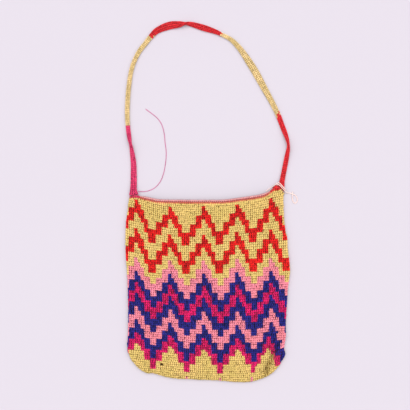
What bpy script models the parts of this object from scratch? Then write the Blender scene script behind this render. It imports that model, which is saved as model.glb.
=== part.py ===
"""Bilum string bag, lying flat on its back with the strap spread above the mouth.

The bag is looped from yarn in rounds, so the pouch is one thin-walled piece: front, base and back
without a seam. A red edging runs round the mouth, and one long band joins the two shoulders as the
strap. A loose yarn end leaves the strap's left foot, and a white string is tied round its right foot.

Units are metres. The bag lies in the XY plane with the mouth and strap towards +Y, its front up
(+Z) and its back on z = 0. The origin is under the middle of the bag and strap together.
The tables below are in millimetres, and a smooth curve is drawn through each.
"""
import math

import bmesh
import bpy
import numpy as np

MM = 0.001

# Cloth and yarn
WALL = 2.4 * MM              # thickness of the looped cloth
GAP = 0.3 * MM               # clearance between pieces that touch
FOLD_RADIUS = 3.6 * MM       # outer radius of the fold round the sides and base
CROWN = 4.6 * MM             # how far the front stands above the folded edge
CROWN_REACH = 34 * MM        # distance from the fold over which the front rises

# Pouch mesh: rays run from stations on the fold in to the cloth's middle column
MIDDLE_TOP_X = 2 * MM        # the middle column, at the mouth
MIDDLE_LOW = (0 * MM, -212 * MM)
SIDE_LENGTH = 245 * MM       # length of fold that faces the middle column, each side
SIDE_STEPS = 20
SIDE_CROWDING = 1.4          # power that draws the side's stations towards the shoulder
BASE_STEPS = 34
PULL_FADE = 3                # power by which the mouth's pull on the rays fades down the cloth
FRONT_OFFSETS = np.array([0.0, 0.7, 1.9, 3.6, 7, 13, 18.6, 24, 36, 54, 75, 98]) * MM
BACK_OFFSETS = np.array([0.0, 0.7, 1.9, 3.6, 13, 18.6, 24, 36, 54, 98]) * MM

# The fold round the bag, from the mouth's left end to its right end, seen from above
FOLD = np.array([
    # x       y
    (-133.4, 5.4),
    (-134.8, -3.0),
    (-136.5, -18.0),
    (-138.8, -36.0),
    (-139.8, -62.0),
    (-139.2, -92.0),
    (-137.2, -118.0),
    (-135.8, -150.0),
    (-135.2, -185.0),
    (-135.6, -222.0),
    (-136.6, -248.0),
    (-132.0, -264.0),
    (-122.4, -277.4),
    (-112.0, -287.2),
    (-102.0, -291.4),
    (-93.5, -291.3),
    (-81.0, -294.8),
    (-60.0, -300.0),
    (-30.0, -301.6),
    (8.0, -303.2),
    (32.0, -305.0),
    (54.0, -306.4),
    (70.0, -306.0),
    (86.0, -302.6),
    (101.0, -296.2),
    (113.0, -287.5),
    (124.0, -273.5),
    (131.3, -259.5),
    (129.5, -250.0),
    (130.2, -240.0),
    (132.6, -227.0),
    (132.2, -211.0),
    (133.0, -189.0),
    (134.9, -163.0),
    (136.9, -138.0),
    (139.6, -117.0),
    (137.6, -96.0),
    (135.9, -80.0),
    (134.9, -64.0),
    (131.2, -45.0),
    (129.6, -28.0),
    (129.0, -14.0),
    (128.2, 1.0),
    (128.4, 10.0),
]) * MM

# The front edge of the mouth from left end to right end. The strap's feet sit on the shoulders,
# its first and last rows; the right shoulder slopes down from the raised tip of the mouth.
MOUTH = np.array([
    # x       y
    (-133.4, 5.4),
    (-126.5, 7.0),
    (-119.0, 6.9),
    (-112.0, 4.8),
    (-103.4, 2.2),
    (-94.0, 0.2),
    (-80.0, -2.0),
    (-40.0, -2.6),
    (0.0, -2.8),
    (28.0, -2.4),
    (50.0, 0.4),
    (75.0, 4.0),
    (93.0, 7.4),
    (103.0, 12.4),
    (110.0, 17.4),
    (113.6, 21.6),
    (115.4, 24.6),
    (117.2, 23.6),
    (121.5, 19.0),
    (128.4, 10.0),
]) * MM
LEFT_SHOULDER = slice(0, 3)  # rows of the table above
RIGHT_SHOULDER = slice(16, 20)
BACK_RISE = 0.3 * MM         # the back of the mouth shows this far above its front
BACK_RISE_SHARE = 0.25       # share of each half of the mouth over which it comes up

# Soft hollows (-) and swellings (+) of the front
RELIEF = np.array([
    # x       y    reach   height
    (-96.0, -40.0, 26.0, 0.7),
    (-60.0, -95.0, 30.0, -0.6),
    (-20.0, -45.0, 32.0, -0.7),
    (45.0, -30.0, 26.0, 0.6),
    (98.0, -75.0, 24.0, 0.8),
    (20.0, -130.0, 34.0, 0.6),
    (-100.0, -160.0, 26.0, 0.7),
    (90.0, -170.0, 28.0, -0.7),
    (-40.0, -215.0, 34.0, 0.5),
    (-105.0, -262.0, 18.0, 0.8),
    (35.0, -268.0, 26.0, -0.5),
    (121.0, -262.0, 9.0, 1.6),
    (90.0, -272.0, 12.0, 1.2),
]) * MM

# The crease across the lower right corner: a narrow trough between two points
CREASE_START = (112 * MM, -252 * MM)
CREASE_END = (95 * MM, -294 * MM)
CREASE_WIDTH = 4.5 * MM
CREASE_DEPTH = 3.8 * MM
CREASE_RUN_OUT = 0.35        # share of its length over which the trough fades at each end
CREASE_BEYOND = 0.25         # how far past its start that fade begins, as a share too

# Mouth edging
EDGING_HIGH = 3.2 * MM       # across the edge
EDGING_THICK = 2.6 * MM      # through the cloth
EDGING_SIDES = 8
EDGING_TURN = 3              # ray points from the fold to where the edging turns to the back

# Strap: the band's middle line, its own width and thickness, and how far it has turned over
STRAP = np.array([
    # x       y     width  thick  turn
    (-125.4, 11.0, 16.4, 4.4, 0),
    (-125.9, 15.0, 14.0, 4.4, 0),
    (-126.2, 20.0, 12.0, 4.3, 0),
    (-126.0, 28.0, 11.2, 4.0, 0),
    (-125.8, 44.0, 10.8, 3.9, 0),
    (-126.3, 66.0, 9.8, 3.9, 6),
    (-129.2, 88.0, 8.6, 4.8, 50),
    (-131.4, 98.5, 8.2, 5.2, 90),
    (-133.3, 109.0, 8.0, 5.0, 135),
    (-135.4, 125.0, 7.8, 4.6, 172),
    (-136.8, 152.0, 8.2, 4.4, 180),
    (-134.6, 191.0, 8.2, 4.4, 180),
    (-129.0, 226.0, 7.8, 4.4, 180),
    (-118.2, 252.0, 8.2, 4.3, 180),
    (-105.2, 269.4, 8.6, 4.2, 180),
    (-97.6, 279.0, 9.2, 4.1, 180),
    (-85.7, 290.6, 11.0, 3.8, 180),
    (-66.0, 298.6, 13.6, 3.6, 180),
    (-49.0, 300.8, 11.8, 4.2, 196),
    (-41.5, 301.8, 9.6, 4.8, 232),
    (-35.9, 302.0, 8.6, 5.2, 270),
    (-30.0, 301.2, 8.8, 5.0, 308),
    (-22.6, 299.6, 9.4, 4.5, 344),
    (-5.4, 294.4, 11.0, 3.9, 360),
    (12.0, 288.8, 8.6, 4.2, 360),
    (23.8, 283.4, 6.8, 4.8, 360),
    (40.0, 274.6, 7.8, 4.4, 360),
    (55.3, 258.6, 9.8, 4.0, 360),
    (70.4, 236.8, 12.0, 3.7, 360),
    (83.5, 215.2, 12.4, 3.6, 360),
    (96.4, 191.4, 11.0, 3.8, 360),
    (109.5, 167.6, 9.8, 3.9, 360),
    (119.3, 147.2, 9.2, 4.0, 360),
    (127.2, 126.3, 9.0, 4.0, 364),
    (133.4, 110.0, 8.4, 4.6, 400),
    (136.2, 99.0, 8.0, 5.0, 436),
    (136.4, 90.0, 8.0, 5.0, 468),
    (134.2, 77.0, 8.2, 4.8, 512),
    (131.4, 62.0, 8.6, 4.4, 536),
    (128.8, 49.0, 8.8, 4.2, 540),
    (126.0, 35.0, 9.2, 4.2, 540),
    (125.4, 28.6, 10.6, 4.2, 540),
    (124.5, 22.3, 15.0, 4.0, 540),
])
STRAP_STATIONS = 84
STRAP_SIDES = 10
STRAP_SQUARENESS = 0.75      # power of the cross-section: 1 is an ellipse, less is boxier
FOOT_RUN = 26 * MM           # length over which a foot rises to the pouch's shoulder
FOOT_HEIGHT = 4.3 * MM       # middle of the band where it meets the edging
CUT_RUN = 12 * MM            # length over which a foot's cross-sections turn to the shoulder
SHOULDERS = ((1.0, 0.1), (-0.71, 0.70))  # plan directions of the left and right shoulder

# Free cords
THREAD_DIAMETER = 1.1 * MM
THREAD_ROUTE = np.array([
    # x       y      z
    (-118.2, 17.5, 3.3),
    (-115.6, 17.1, 2.1),
    (-112.0, 17.0, 1.1),
    (-106.5, 17.2, 0.6),
    (-100.0, 18.6, 0.6),
    (-93.0, 21.6, 0.6),
    (-86.8, 26.4, 0.6),
    (-81.3, 33.2, 0.6),
    (-77.4, 41.2, 0.6),
    (-74.4, 51.0, 0.6),
    (-72.2, 63.0, 0.6),
    (-70.8, 76.0, 0.6),
    (-71.0, 88.0, 0.6),
    (-72.6, 100.0, 0.6),
    (-73.6, 112.0, 0.6),
    (-76.0, 124.0, 0.6),
    (-80.2, 134.4, 0.6),
    (-86.6, 142.4, 0.6),
    (-94.6, 149.0, 0.6),
    (-106.0, 157.4, 0.6),
])

STRING_DIAMETER = 1.5 * MM
STRING_ROUTE = np.array([
    # x       y      z
    (98.4, 17.7, 0.75),
    (102.6, 20.4, 0.75),
    (106.6, 23.2, 0.85),
    (109.8, 25.4, 1.7),
    (112.6, 27.5, 3.2),
    (115.2, 29.5, 5.0),
    (117.6, 31.1, 6.6),
    (119.7, 31.8, 7.5),
    (121.8, 30.9, 7.7),
    (124.6, 28.0, 7.5),
    (127.4, 24.9, 7.4),
    (129.5, 22.5, 7.1),
    (131.0, 20.9, 5.8),
    (131.5, 20.4, 4.0),
    (131.0, 21.0, 2.2),
    (129.5, 22.3, 0.95),
    (127.2, 24.0, 0.75),
    (124.2, 25.9, 0.75),
    (121.3, 27.8, 0.85),
    (119.2, 29.0, 1.7),
    (118.2, 29.3, 3.4),
    (118.0, 29.0, 5.3),
    (119.4, 29.2, 7.0),
    (121.5, 27.7, 7.9),
    (124.3, 24.9, 7.9),
    (127.4, 21.5, 7.6),
    (130.0, 18.6, 6.9),
    (132.0, 16.6, 5.2),
    (134.0, 15.2, 2.8),
    (136.6, 14.7, 1.1),
    (140.2, 14.2, 0.75),
    (144.4, 12.8, 0.75),
    (148.4, 10.6, 0.75),
    (151.2, 7.0, 0.75),
    (152.1, 2.6, 0.75),
    (151.0, -1.0, 0.75),
    (148.2, -2.7, 0.75),
    (145.3, -1.2, 0.75),
    (144.0, 3.4, 0.8),
    (143.2, 9.2, 1.7),
    (143.6, 13.2, 2.8),
    (144.6, 17.0, 1.3),
])

COLOURS = {
    "pouch": (0.66, 0.50, 0.16, 1.0),
    "mouth_edging": (0.55, 0.06, 0.05, 1.0),
    "strap": (0.60, 0.03, 0.05, 1.0),
    "loose_thread": (0.75, 0.10, 0.25, 1.0),
    "tie_string": (0.85, 0.80, 0.76, 1.0),
}


def clear_scene():
    """Start from an empty scene."""
    for old in list(bpy.data.objects):
        bpy.data.objects.remove(old, do_unlink=True)


def yarn_material(name):
    """A dull yarn finish in the piece's main colour."""
    material = bpy.data.materials.new(name)
    material.use_nodes = True
    shader = material.node_tree.nodes["Principled BSDF"]
    shader.inputs["Base Color"].default_value = COLOURS[name]
    shader.inputs["Roughness"].default_value = 0.9
    shader.inputs["Metallic"].default_value = 0.0
    return material


def smooth_curve(rows, steps_per_span=12):
    """Catmull-Rom curve through the rows of a table, over all its columns."""
    rows = np.asarray(rows, dtype=float)
    before = 2 * rows[0] - rows[1]
    after = 2 * rows[-1] - rows[-2]
    padded = np.vstack([before, rows, after])
    t = np.linspace(0, 1, steps_per_span, endpoint=False)[:, None]
    spans = []
    for p0, p1, p2, p3 in zip(padded, padded[1:], padded[2:], padded[3:]):
        spans.append(0.5 * (2 * p1 + (p2 - p0) * t + (2 * p0 - 5 * p1 + 4 * p2 - p3) * t ** 2
                            + (3 * p1 - p0 - 3 * p2 + p3) * t ** 3))
    return np.vstack(spans + [rows[-1:]])


def lengths_along(curve, measured=2):
    """Distance along a dense curve to each of its points, over its first columns."""
    pieces = np.linalg.norm(np.diff(curve[:, :measured], axis=0), axis=1)
    return np.concatenate([[0.0], np.cumsum(pieces)])


def read_at(curve, along, stations):
    """All the columns of a dense curve at the stations asked for."""
    return np.column_stack([np.interp(stations, along, column) for column in curve.T])


def at_even_steps(curve, count, measured=2):
    """Resample a dense curve at count evenly spaced stations."""
    along = lengths_along(curve, measured)
    return read_at(curve, along, np.linspace(0, along[-1], count))


def add_mesh(collection, name, vertices, faces):
    """A mesh object with the piece's own material, its faces turned outwards."""
    mesh = bpy.data.meshes.new(name)
    mesh.from_pydata([tuple(v) for v in vertices], [], faces)
    cleaner = bmesh.new()
    cleaner.from_mesh(mesh)
    bmesh.ops.recalc_face_normals(cleaner, faces=cleaner.faces)
    cleaner.to_mesh(mesh)
    cleaner.free()
    piece = bpy.data.objects.new(name, mesh)
    collection.objects.link(piece)
    mesh.materials.append(yarn_material(name))
    mesh.shade_smooth()
    return piece


def loft(rings, closed=False):
    """Vertices and faces of a tube through rings of equal length, flat-ended unless it is closed."""
    count, sides = len(rings), len(rings[0])
    vertices = np.vstack(rings)
    faces = []
    for i in range(count if closed else count - 1):
        here, there = i * sides, ((i + 1) % count) * sides
        for j in range(sides):
            k = (j + 1) % sides
            faces.append((here + j, here + k, there + k, there + j))
    if not closed:
        faces.append(tuple(range(sides)))
        faces.append(tuple(range((count - 1) * sides, count * sides)))
    return vertices, faces


def distance_to_line(points, line):
    """Distance in plan from each point to a line of many short straight pieces."""
    start, step = line[:-1], np.diff(line, axis=0)
    away = points[:, None, :] - start[None]
    share = np.clip((away * step).sum(-1) / (step ** 2).sum(-1), 0, 1)
    nearest = start + share[..., None] * step
    return np.linalg.norm(points[:, None, :] - nearest, axis=-1).min(axis=1)


def front_relief(x, y):
    """Height of the soft hollows and swellings, and of the corner's crease."""
    relief = np.zeros_like(x)
    for cx, cy, reach, height in RELIEF:
        relief += height * np.exp(-((x - cx) ** 2 + (y - cy) ** 2) / reach ** 2)
    start, end = np.array(CREASE_START), np.array(CREASE_END)
    run = end - start
    along = ((x - start[0]) * run[0] + (y - start[1]) * run[1]) / (run @ run)
    across = ((x - start[0]) * run[1] - (y - start[1]) * run[0]) / np.linalg.norm(run)
    from_end = np.minimum(along + CREASE_BEYOND, 1 + CREASE_RUN_OUT - along)
    over_ends = np.clip(from_end / CREASE_RUN_OUT, 0, 1)
    return relief - CREASE_DEPTH * over_ends * np.exp(-(across / CREASE_WIDTH) ** 2)


def cloth_heights(plan, fold):
    """Heights of front and back over plan points.

    Both round over into the fold. The front rises to its crown away from the fold and from the
    shoulders, where the strap's feet hold front and back together.
    """
    points = plan.reshape(-1, 2)
    away = distance_to_line(points, fold).reshape(plan.shape[:2])
    round_over = np.sqrt(1 - (1 - np.clip(away / FOLD_RADIUS, 0, 1)) ** 2)
    from_left = distance_to_line(points, smooth_curve(MOUTH[LEFT_SHOULDER]))
    from_right = distance_to_line(points, smooth_curve(MOUTH[RIGHT_SHOULDER]))
    free = np.minimum(away, np.minimum(from_left, from_right).reshape(away.shape) + FOLD_RADIUS)
    rise = np.sin(np.clip((free - FOLD_RADIUS) / CROWN_REACH, 0, 1) * math.pi / 2)
    inside = np.clip((free - FOLD_RADIUS) / (2 * FOLD_RADIUS), 0, 1)
    relief = front_relief(plan[..., 0], plan[..., 1])
    front = FOLD_RADIUS * (1 + round_over) + CROWN * rise + relief * inside
    back = FOLD_RADIUS * (1 - round_over)
    return front, back


def plan_rays():
    """Ends of the rays in plan: stations on the fold, and the points of the middle column they face.

    Stations down each side lie closer near the shoulder. Those round the base all face the middle
    column's low end, as the rounds of a looped base do. down is each ray's share of the column.
    """
    curve = smooth_curve(FOLD)
    along = lengths_along(curve)
    side = SIDE_LENGTH * np.linspace(0, 1, SIDE_STEPS + 1) ** SIDE_CROWDING
    base = np.linspace(SIDE_LENGTH, along[-1] - SIDE_LENGTH, BASE_STEPS + 1)[1:-1]
    stations = np.concatenate([side, base, along[-1] - side[::-1]])
    fold = read_at(curve, along, stations)
    down = np.clip(np.minimum(stations, along[-1] - stations) / SIDE_LENGTH, 0, 1)
    mouth = smooth_curve(MOUTH)
    top = np.array([MIDDLE_TOP_X, np.interp(MIDDLE_TOP_X, mouth[:, 0], mouth[:, 1])])
    middle = top + (np.array(MIDDLE_LOW) - top) * down[:, None]
    return fold, middle, down


def mouth_half(left, lift):
    """The mouth's edge in plan from one end to its middle, raised by lift away from the end."""
    mouth = smooth_curve(MOUTH)
    middle = np.searchsorted(mouth[:, 0], MIDDLE_TOP_X)
    half = mouth[:middle + 1].copy() if left else mouth[middle:][::-1].copy()
    from_end = np.abs(half[:, 0] - half[0, 0]) / abs(half[-1, 0] - half[0, 0])
    half[:, 1] += lift * np.sin(np.clip(from_end / BACK_RISE_SHARE, 0, 1) * math.pi / 2)
    return half


def cloth_plan(offsets, lift):
    """Plan points of one side of the pouch, by ray and offset, with its mouth raised by lift.

    Offsets are true distances near the fold and even shares of the ray towards the middle. The
    first and last ray are drawn to the mouth's edge, and the pull fades down the cloth.
    """
    fold, middle, down = plan_rays()
    length = np.linalg.norm(middle - fold, axis=1)[:, None]
    reach = offsets / offsets[-1]
    share = offsets / length * (1 - reach ** 2) + reach * reach ** 2
    points = fold[:, None] + (middle - fold)[:, None] * share[..., None]
    fade = (1 - down) ** PULL_FADE
    half_way = len(fold) // 2
    halves = ((True, 0, slice(0, half_way)), (False, -1, slice(half_way, None)))
    for left, ray, same_side in halves:
        edge = mouth_half(left, lift)
        along = lengths_along(edge)
        pull = read_at(edge, along / along[-1], share[ray]) - points[ray]
        points[same_side] += fade[same_side, None, None] * pull
    return points, fold


def cloth_side(offsets, lift, is_front):
    """One side of the pouch's outer surface as points by ray and offset."""
    plan, fold = cloth_plan(offsets, lift)
    front, back = cloth_heights(plan, fold)
    return np.dstack([plan, front if is_front else back])


def pouch_surface():
    """The pouch's outer surface: front and back, joined along the fold and open at the mouth."""
    sides = [cloth_side(FRONT_OFFSETS, 0.0, True), cloth_side(BACK_OFFSETS, BACK_RISE, False)]
    last_ray = len(sides[0]) - 1
    vertices, faces, numbers = [], [], {}

    def vertex(side, ray, offset):
        """Number of the vertex here. The sides share the fold, and the rays the middle column."""
        if offset == 0:
            side = 0
        if offset == sides[side].shape[1] - 1:
            ray = min(ray, last_ray - ray, SIDE_STEPS)
        key = (side, ray, offset)
        if key not in numbers:
            numbers[key] = len(vertices)
            vertices.append(sides[side][ray, offset])
        return numbers[key]

    for side in (0, 1):
        for ray in range(last_ray):
            for offset in range(sides[side].shape[1] - 1):
                corners = [vertex(side, ray, offset), vertex(side, ray + 1, offset),
                           vertex(side, ray + 1, offset + 1), vertex(side, ray, offset + 1)]
                corners = [c for i, c in enumerate(corners) if c != corners[i - 1]]
                faces.append(tuple(corners if side else corners[::-1]))
    return np.array(vertices), faces


def add_pouch(collection):
    """The looped pouch, hollow and open at the mouth: its surface, with the cloth's wall inside it."""
    pouch = add_mesh(collection, "pouch", *pouch_surface())
    cloth = pouch.modifiers.new("cloth", "SOLIDIFY")
    cloth.thickness = WALL
    cloth.offset = -1
    cloth.use_even_offset = True


def rim_path(offsets, lift, is_front):
    """The middle of the cloth's rim on one side, left to right, and the plan direction out of it.

    It stops short of the fold, where the edging turns from front to back.
    """
    side = cloth_side(offsets, lift, is_front)
    rim = np.vstack([side[0], side[-1][-2::-1]])
    rim[:, 2] += -0.5 * WALL if is_front else 0.5 * WALL
    ahead = np.gradient(rim[:, :2], axis=0)
    ahead /= np.linalg.norm(ahead, axis=1)[:, None]
    outwards = np.column_stack([-ahead[:, 1], ahead[:, 0], np.zeros(len(rim))])
    open_cloth = slice(EDGING_TURN, -EDGING_TURN)
    return rim[open_cloth], outwards[open_cloth]


def turn_station(front_end, back_end, front_out, back_out):
    """The station half way round the turn between front and back, a little beyond their ends."""
    middle = 0.5 * (front_end + back_end)
    out = 0.5 * (front_out + back_out)
    beyond = np.array([out[1], -out[0], 0.0]) * math.copysign(0.5 * EDGING_THICK, middle[0])
    return middle + beyond, out


def add_mouth_edging(collection):
    """The edging: a closed ring of flattened yarn just beyond the pouch's rim."""
    front, front_out = rim_path(FRONT_OFFSETS, 0.0, True)
    back, back_out = rim_path(BACK_OFFSETS, BACK_RISE, False)
    right, right_out = turn_station(front[-1], back[-1], front_out[-1], back_out[-1])
    left, left_out = turn_station(front[0], back[0], front_out[0], back_out[0])
    outwards = np.vstack([front_out, right_out, back_out[::-1], left_out])
    path = np.vstack([front, right, back[::-1], left]) + outwards * (GAP + 0.5 * EDGING_HIGH)
    path[:, 2] = np.maximum(path[:, 2], 0.5 * EDGING_THICK)
    ahead = np.roll(path, -1, axis=0) - np.roll(path, 1, axis=0)
    through = np.cross(ahead, outwards)
    through /= np.linalg.norm(through, axis=1)[:, None]
    angles = np.linspace(0, 2 * math.pi, EDGING_SIDES, endpoint=False)
    wide = 0.5 * EDGING_HIGH * np.cos(angles)[:, None]
    deep = 0.5 * EDGING_THICK * np.sin(angles)[:, None]
    rings = [p + wide * o + deep * t for p, o, t in zip(path, outwards, through)]
    add_mesh(collection, "mouth_edging", *loft(rings, closed=True))


def strap_aside(centre, along):
    """Plan direction across the strap at each station, turned to the shoulder at each foot."""
    ahead = np.gradient(centre, axis=0)
    ahead /= np.linalg.norm(ahead, axis=1)[:, None]
    aside = np.column_stack([ahead[:, 1], -ahead[:, 0]])
    for shoulder, to_end in zip(SHOULDERS, (along, along[-1] - along)):
        turned = np.clip(1 - to_end / CUT_RUN, 0, 1)[:, None]
        aside = aside * (1 - turned) + np.array(shoulder) * turned
    return aside / np.linalg.norm(aside, axis=1)[:, None]


def strap_rings():
    """The strap's cross-sections: a rounded band, turned about its own length and resting on z = 0.

    Each foot rises over its last stretch to the middle of the pouch's shoulder.
    """
    table = STRAP * np.array([MM, MM, MM, MM, math.pi / 180])
    table = at_even_steps(smooth_curve(table), STRAP_STATIONS)
    centre, width, thick, turn = table[:, :2], table[:, 2], table[:, 3], table[:, 4]
    along = lengths_along(centre)
    to_foot = np.minimum(along, along[-1] - along)
    aside = strap_aside(centre, along)
    angles = np.linspace(0, 2 * math.pi, STRAP_SIDES, endpoint=False) + math.pi / STRAP_SIDES
    wide = np.sign(np.cos(angles)) * np.abs(np.cos(angles)) ** STRAP_SQUARENESS
    high = np.sign(np.sin(angles)) * np.abs(np.sin(angles)) ** STRAP_SQUARENESS
    u = 0.5 * width[:, None] * wide
    v = 0.5 * thick[:, None] * high
    across = u * np.cos(turn)[:, None] - v * np.sin(turn)[:, None]
    upward = u * np.sin(turn)[:, None] + v * np.cos(turn)[:, None]
    lift = np.clip(1 - to_foot / FOOT_RUN, 0, 1)
    lift = lift * lift * (3 - 2 * lift)
    resting = -upward.min(axis=1)
    height = resting + (FOOT_HEIGHT - resting) * lift
    return [np.column_stack([c[0] + a * s[0], c[1] + a * s[1], h + w])
            for c, a, s, h, w in zip(centre, across, aside, height, upward)]


def add_strap(collection):
    """The strap: one band lofted through its turned sections."""
    add_mesh(collection, "strap", *loft(strap_rings()))


def add_cord(collection, name, route, diameter, spacing=3.0):
    """A free cord: a round tube on a smooth curve through its route."""
    curve = smooth_curve(route * MM)
    length = np.linalg.norm(np.diff(curve, axis=0), axis=1).sum()
    points = at_even_steps(curve, round(length / (spacing * diameter)) + 1, measured=3)
    data = bpy.data.curves.new(name, "CURVE")
    data.dimensions = "3D"
    data.bevel_depth = 0.5 * diameter
    data.bevel_resolution = 2
    data.use_fill_caps = True
    spline = data.splines.new("POLY")
    spline.points.add(len(points) - 1)
    for point, place in zip(spline.points, points):
        point.co = (*place, 1.0)
    data.materials.append(yarn_material(name))
    collection.objects.link(bpy.data.objects.new(name, data))


def main():
    clear_scene()
    parts = bpy.data.collections.new("bilum_string_bag")
    bpy.context.scene.collection.children.link(parts)
    add_pouch(parts)
    add_mouth_edging(parts)
    add_strap(parts)
    add_cord(parts, "loose_thread", THREAD_ROUTE, THREAD_DIAMETER)
    add_cord(parts, "tie_string", STRING_ROUTE, STRING_DIAMETER)


main()
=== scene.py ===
"""Bilum string bag, the looks: yarn stitches, edging, strap, loose thread and tie string.

The bag lies flat on its back. X is across it, +Y runs from the base to the strap, +Z is out of its
front, and lengths are metres. The tables are in millimetres and repeat the part's own: the fold
round the pouch, the edge of its mouth, the strap's sections and the cords' routes.
"""
import math

import bpy
import numpy as np
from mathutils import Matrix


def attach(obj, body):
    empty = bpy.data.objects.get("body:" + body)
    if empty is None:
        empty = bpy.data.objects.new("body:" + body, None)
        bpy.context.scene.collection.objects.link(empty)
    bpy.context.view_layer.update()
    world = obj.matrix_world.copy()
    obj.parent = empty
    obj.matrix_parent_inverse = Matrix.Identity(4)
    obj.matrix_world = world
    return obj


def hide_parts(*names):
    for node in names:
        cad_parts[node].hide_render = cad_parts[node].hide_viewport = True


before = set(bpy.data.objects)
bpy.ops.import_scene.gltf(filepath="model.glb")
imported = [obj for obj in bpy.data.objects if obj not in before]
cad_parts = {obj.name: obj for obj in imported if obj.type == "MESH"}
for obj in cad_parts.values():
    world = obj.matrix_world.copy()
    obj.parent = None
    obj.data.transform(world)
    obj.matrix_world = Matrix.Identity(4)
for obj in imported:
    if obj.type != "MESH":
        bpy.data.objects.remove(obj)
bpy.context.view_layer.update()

MM = 0.001
CHANCE = np.random.default_rng(11)

# ---------------- sizes of the part
FOLD_RADIUS = 3.6 * MM       # outer radius of the fold round the sides and base
CROWN = 4.6 * MM             # how far the front stands above the folded edge
CROWN_REACH = 34 * MM        # distance from the fold over which the front rises
BACK_RISE = 0.3 * MM         # the back of the mouth shows this far above its front
BACK_RISE_SHARE = 0.25       # share of each half of the mouth over which it comes up
WALL = 2.4 * MM              # cloth and stitches together

# The fold round the bag, from the mouth's left end to its right end, seen from above
FOLD = np.array([
    # x       y
    (-133.4, 5.4),
    (-134.8, -3.0),
    (-136.5, -18.0),
    (-138.8, -36.0),
    (-139.8, -62.0),
    (-139.2, -92.0),
    (-137.2, -118.0),
    (-135.8, -150.0),
    (-135.2, -185.0),
    (-135.6, -222.0),
    (-136.6, -248.0),
    (-132.0, -264.0),
    (-122.4, -277.4),
    (-112.0, -287.2),
    (-102.0, -291.4),
    (-93.5, -291.3),
    (-81.0, -294.8),
    (-60.0, -300.0),
    (-30.0, -301.6),
    (8.0, -303.2),
    (32.0, -305.0),
    (54.0, -306.4),
    (70.0, -306.0),
    (86.0, -302.6),
    (101.0, -296.2),
    (113.0, -287.5),
    (124.0, -273.5),
    (131.3, -259.5),
    (129.5, -250.0),
    (130.2, -240.0),
    (132.6, -227.0),
    (132.2, -211.0),
    (133.0, -189.0),
    (134.9, -163.0),
    (136.9, -138.0),
    (139.6, -117.0),
    (137.6, -96.0),
    (135.9, -80.0),
    (134.9, -64.0),
    (131.2, -45.0),
    (129.6, -28.0),
    (129.0, -14.0),
    (128.2, 1.0),
    (128.4, 10.0),
]) * MM

# The front edge of the mouth from left end to right end
MOUTH = np.array([
    # x       y
    (-133.4, 5.4),
    (-126.5, 7.0),
    (-119.0, 6.9),
    (-112.0, 4.8),
    (-103.4, 2.2),
    (-94.0, 0.2),
    (-80.0, -2.0),
    (-40.0, -2.6),
    (0.0, -2.8),
    (28.0, -2.4),
    (50.0, 0.4),
    (75.0, 4.0),
    (93.0, 7.4),
    (103.0, 12.4),
    (110.0, 17.4),
    (113.6, 21.6),
    (115.4, 24.6),
    (117.2, 23.6),
    (121.5, 19.0),
    (128.4, 10.0),
]) * MM
LEFT_SHOULDER = slice(0, 3)  # rows of the table above that carry the strap's feet
RIGHT_SHOULDER = slice(16, 20)

# Soft hollows (-) and swellings (+) of the front
RELIEF = np.array([
    # x       y    reach   height
    (-96.0, -40.0, 26.0, 0.7),
    (-60.0, -95.0, 30.0, -0.6),
    (-20.0, -45.0, 32.0, -0.7),
    (45.0, -30.0, 26.0, 0.6),
    (98.0, -75.0, 24.0, 0.8),
    (20.0, -130.0, 34.0, 0.6),
    (-100.0, -160.0, 26.0, 0.7),
    (90.0, -170.0, 28.0, -0.7),
    (-40.0, -215.0, 34.0, 0.5),
    (-105.0, -262.0, 18.0, 0.8),
    (35.0, -268.0, 26.0, -0.5),
    (121.0, -262.0, 9.0, 1.6),
    (90.0, -272.0, 12.0, 1.2),
]) * MM

# The crease across the lower right corner
CREASE_START = np.array([112.0, -252.0]) * MM
CREASE_END = np.array([95.0, -294.0]) * MM
CREASE_WIDTH = 4.0 * MM      # from its middle to where the trough is a third as deep
CREASE_DEPTH = 5.2 * MM
CREASE_RUN_OUT = 0.35        # share of its length over which the trough fades at each end
CREASE_BEYOND = 0.25         # how far past its start that fade begins, as a share too
CREASE_SLIP = 7.0 * MM       # the cloth on its right lies this much lower down
SLIP_ABOVE = 0.5             # share of its length, above its start, over which the slip comes on
CREASE_TUCK = 1.6            # stitches of each round that are tucked away in it
TUCK_REACH = 25.0 * MM       # how far left of it the stitches close up
TUCK_CLOSE = 0.64            # share of that reach over which they do
TUCK_ABOVE = 0.9             # how far above its start the tuck comes on, as a share of its length
TUCK_COMES = 0.6             # share of its length over which the tuck comes on

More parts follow.
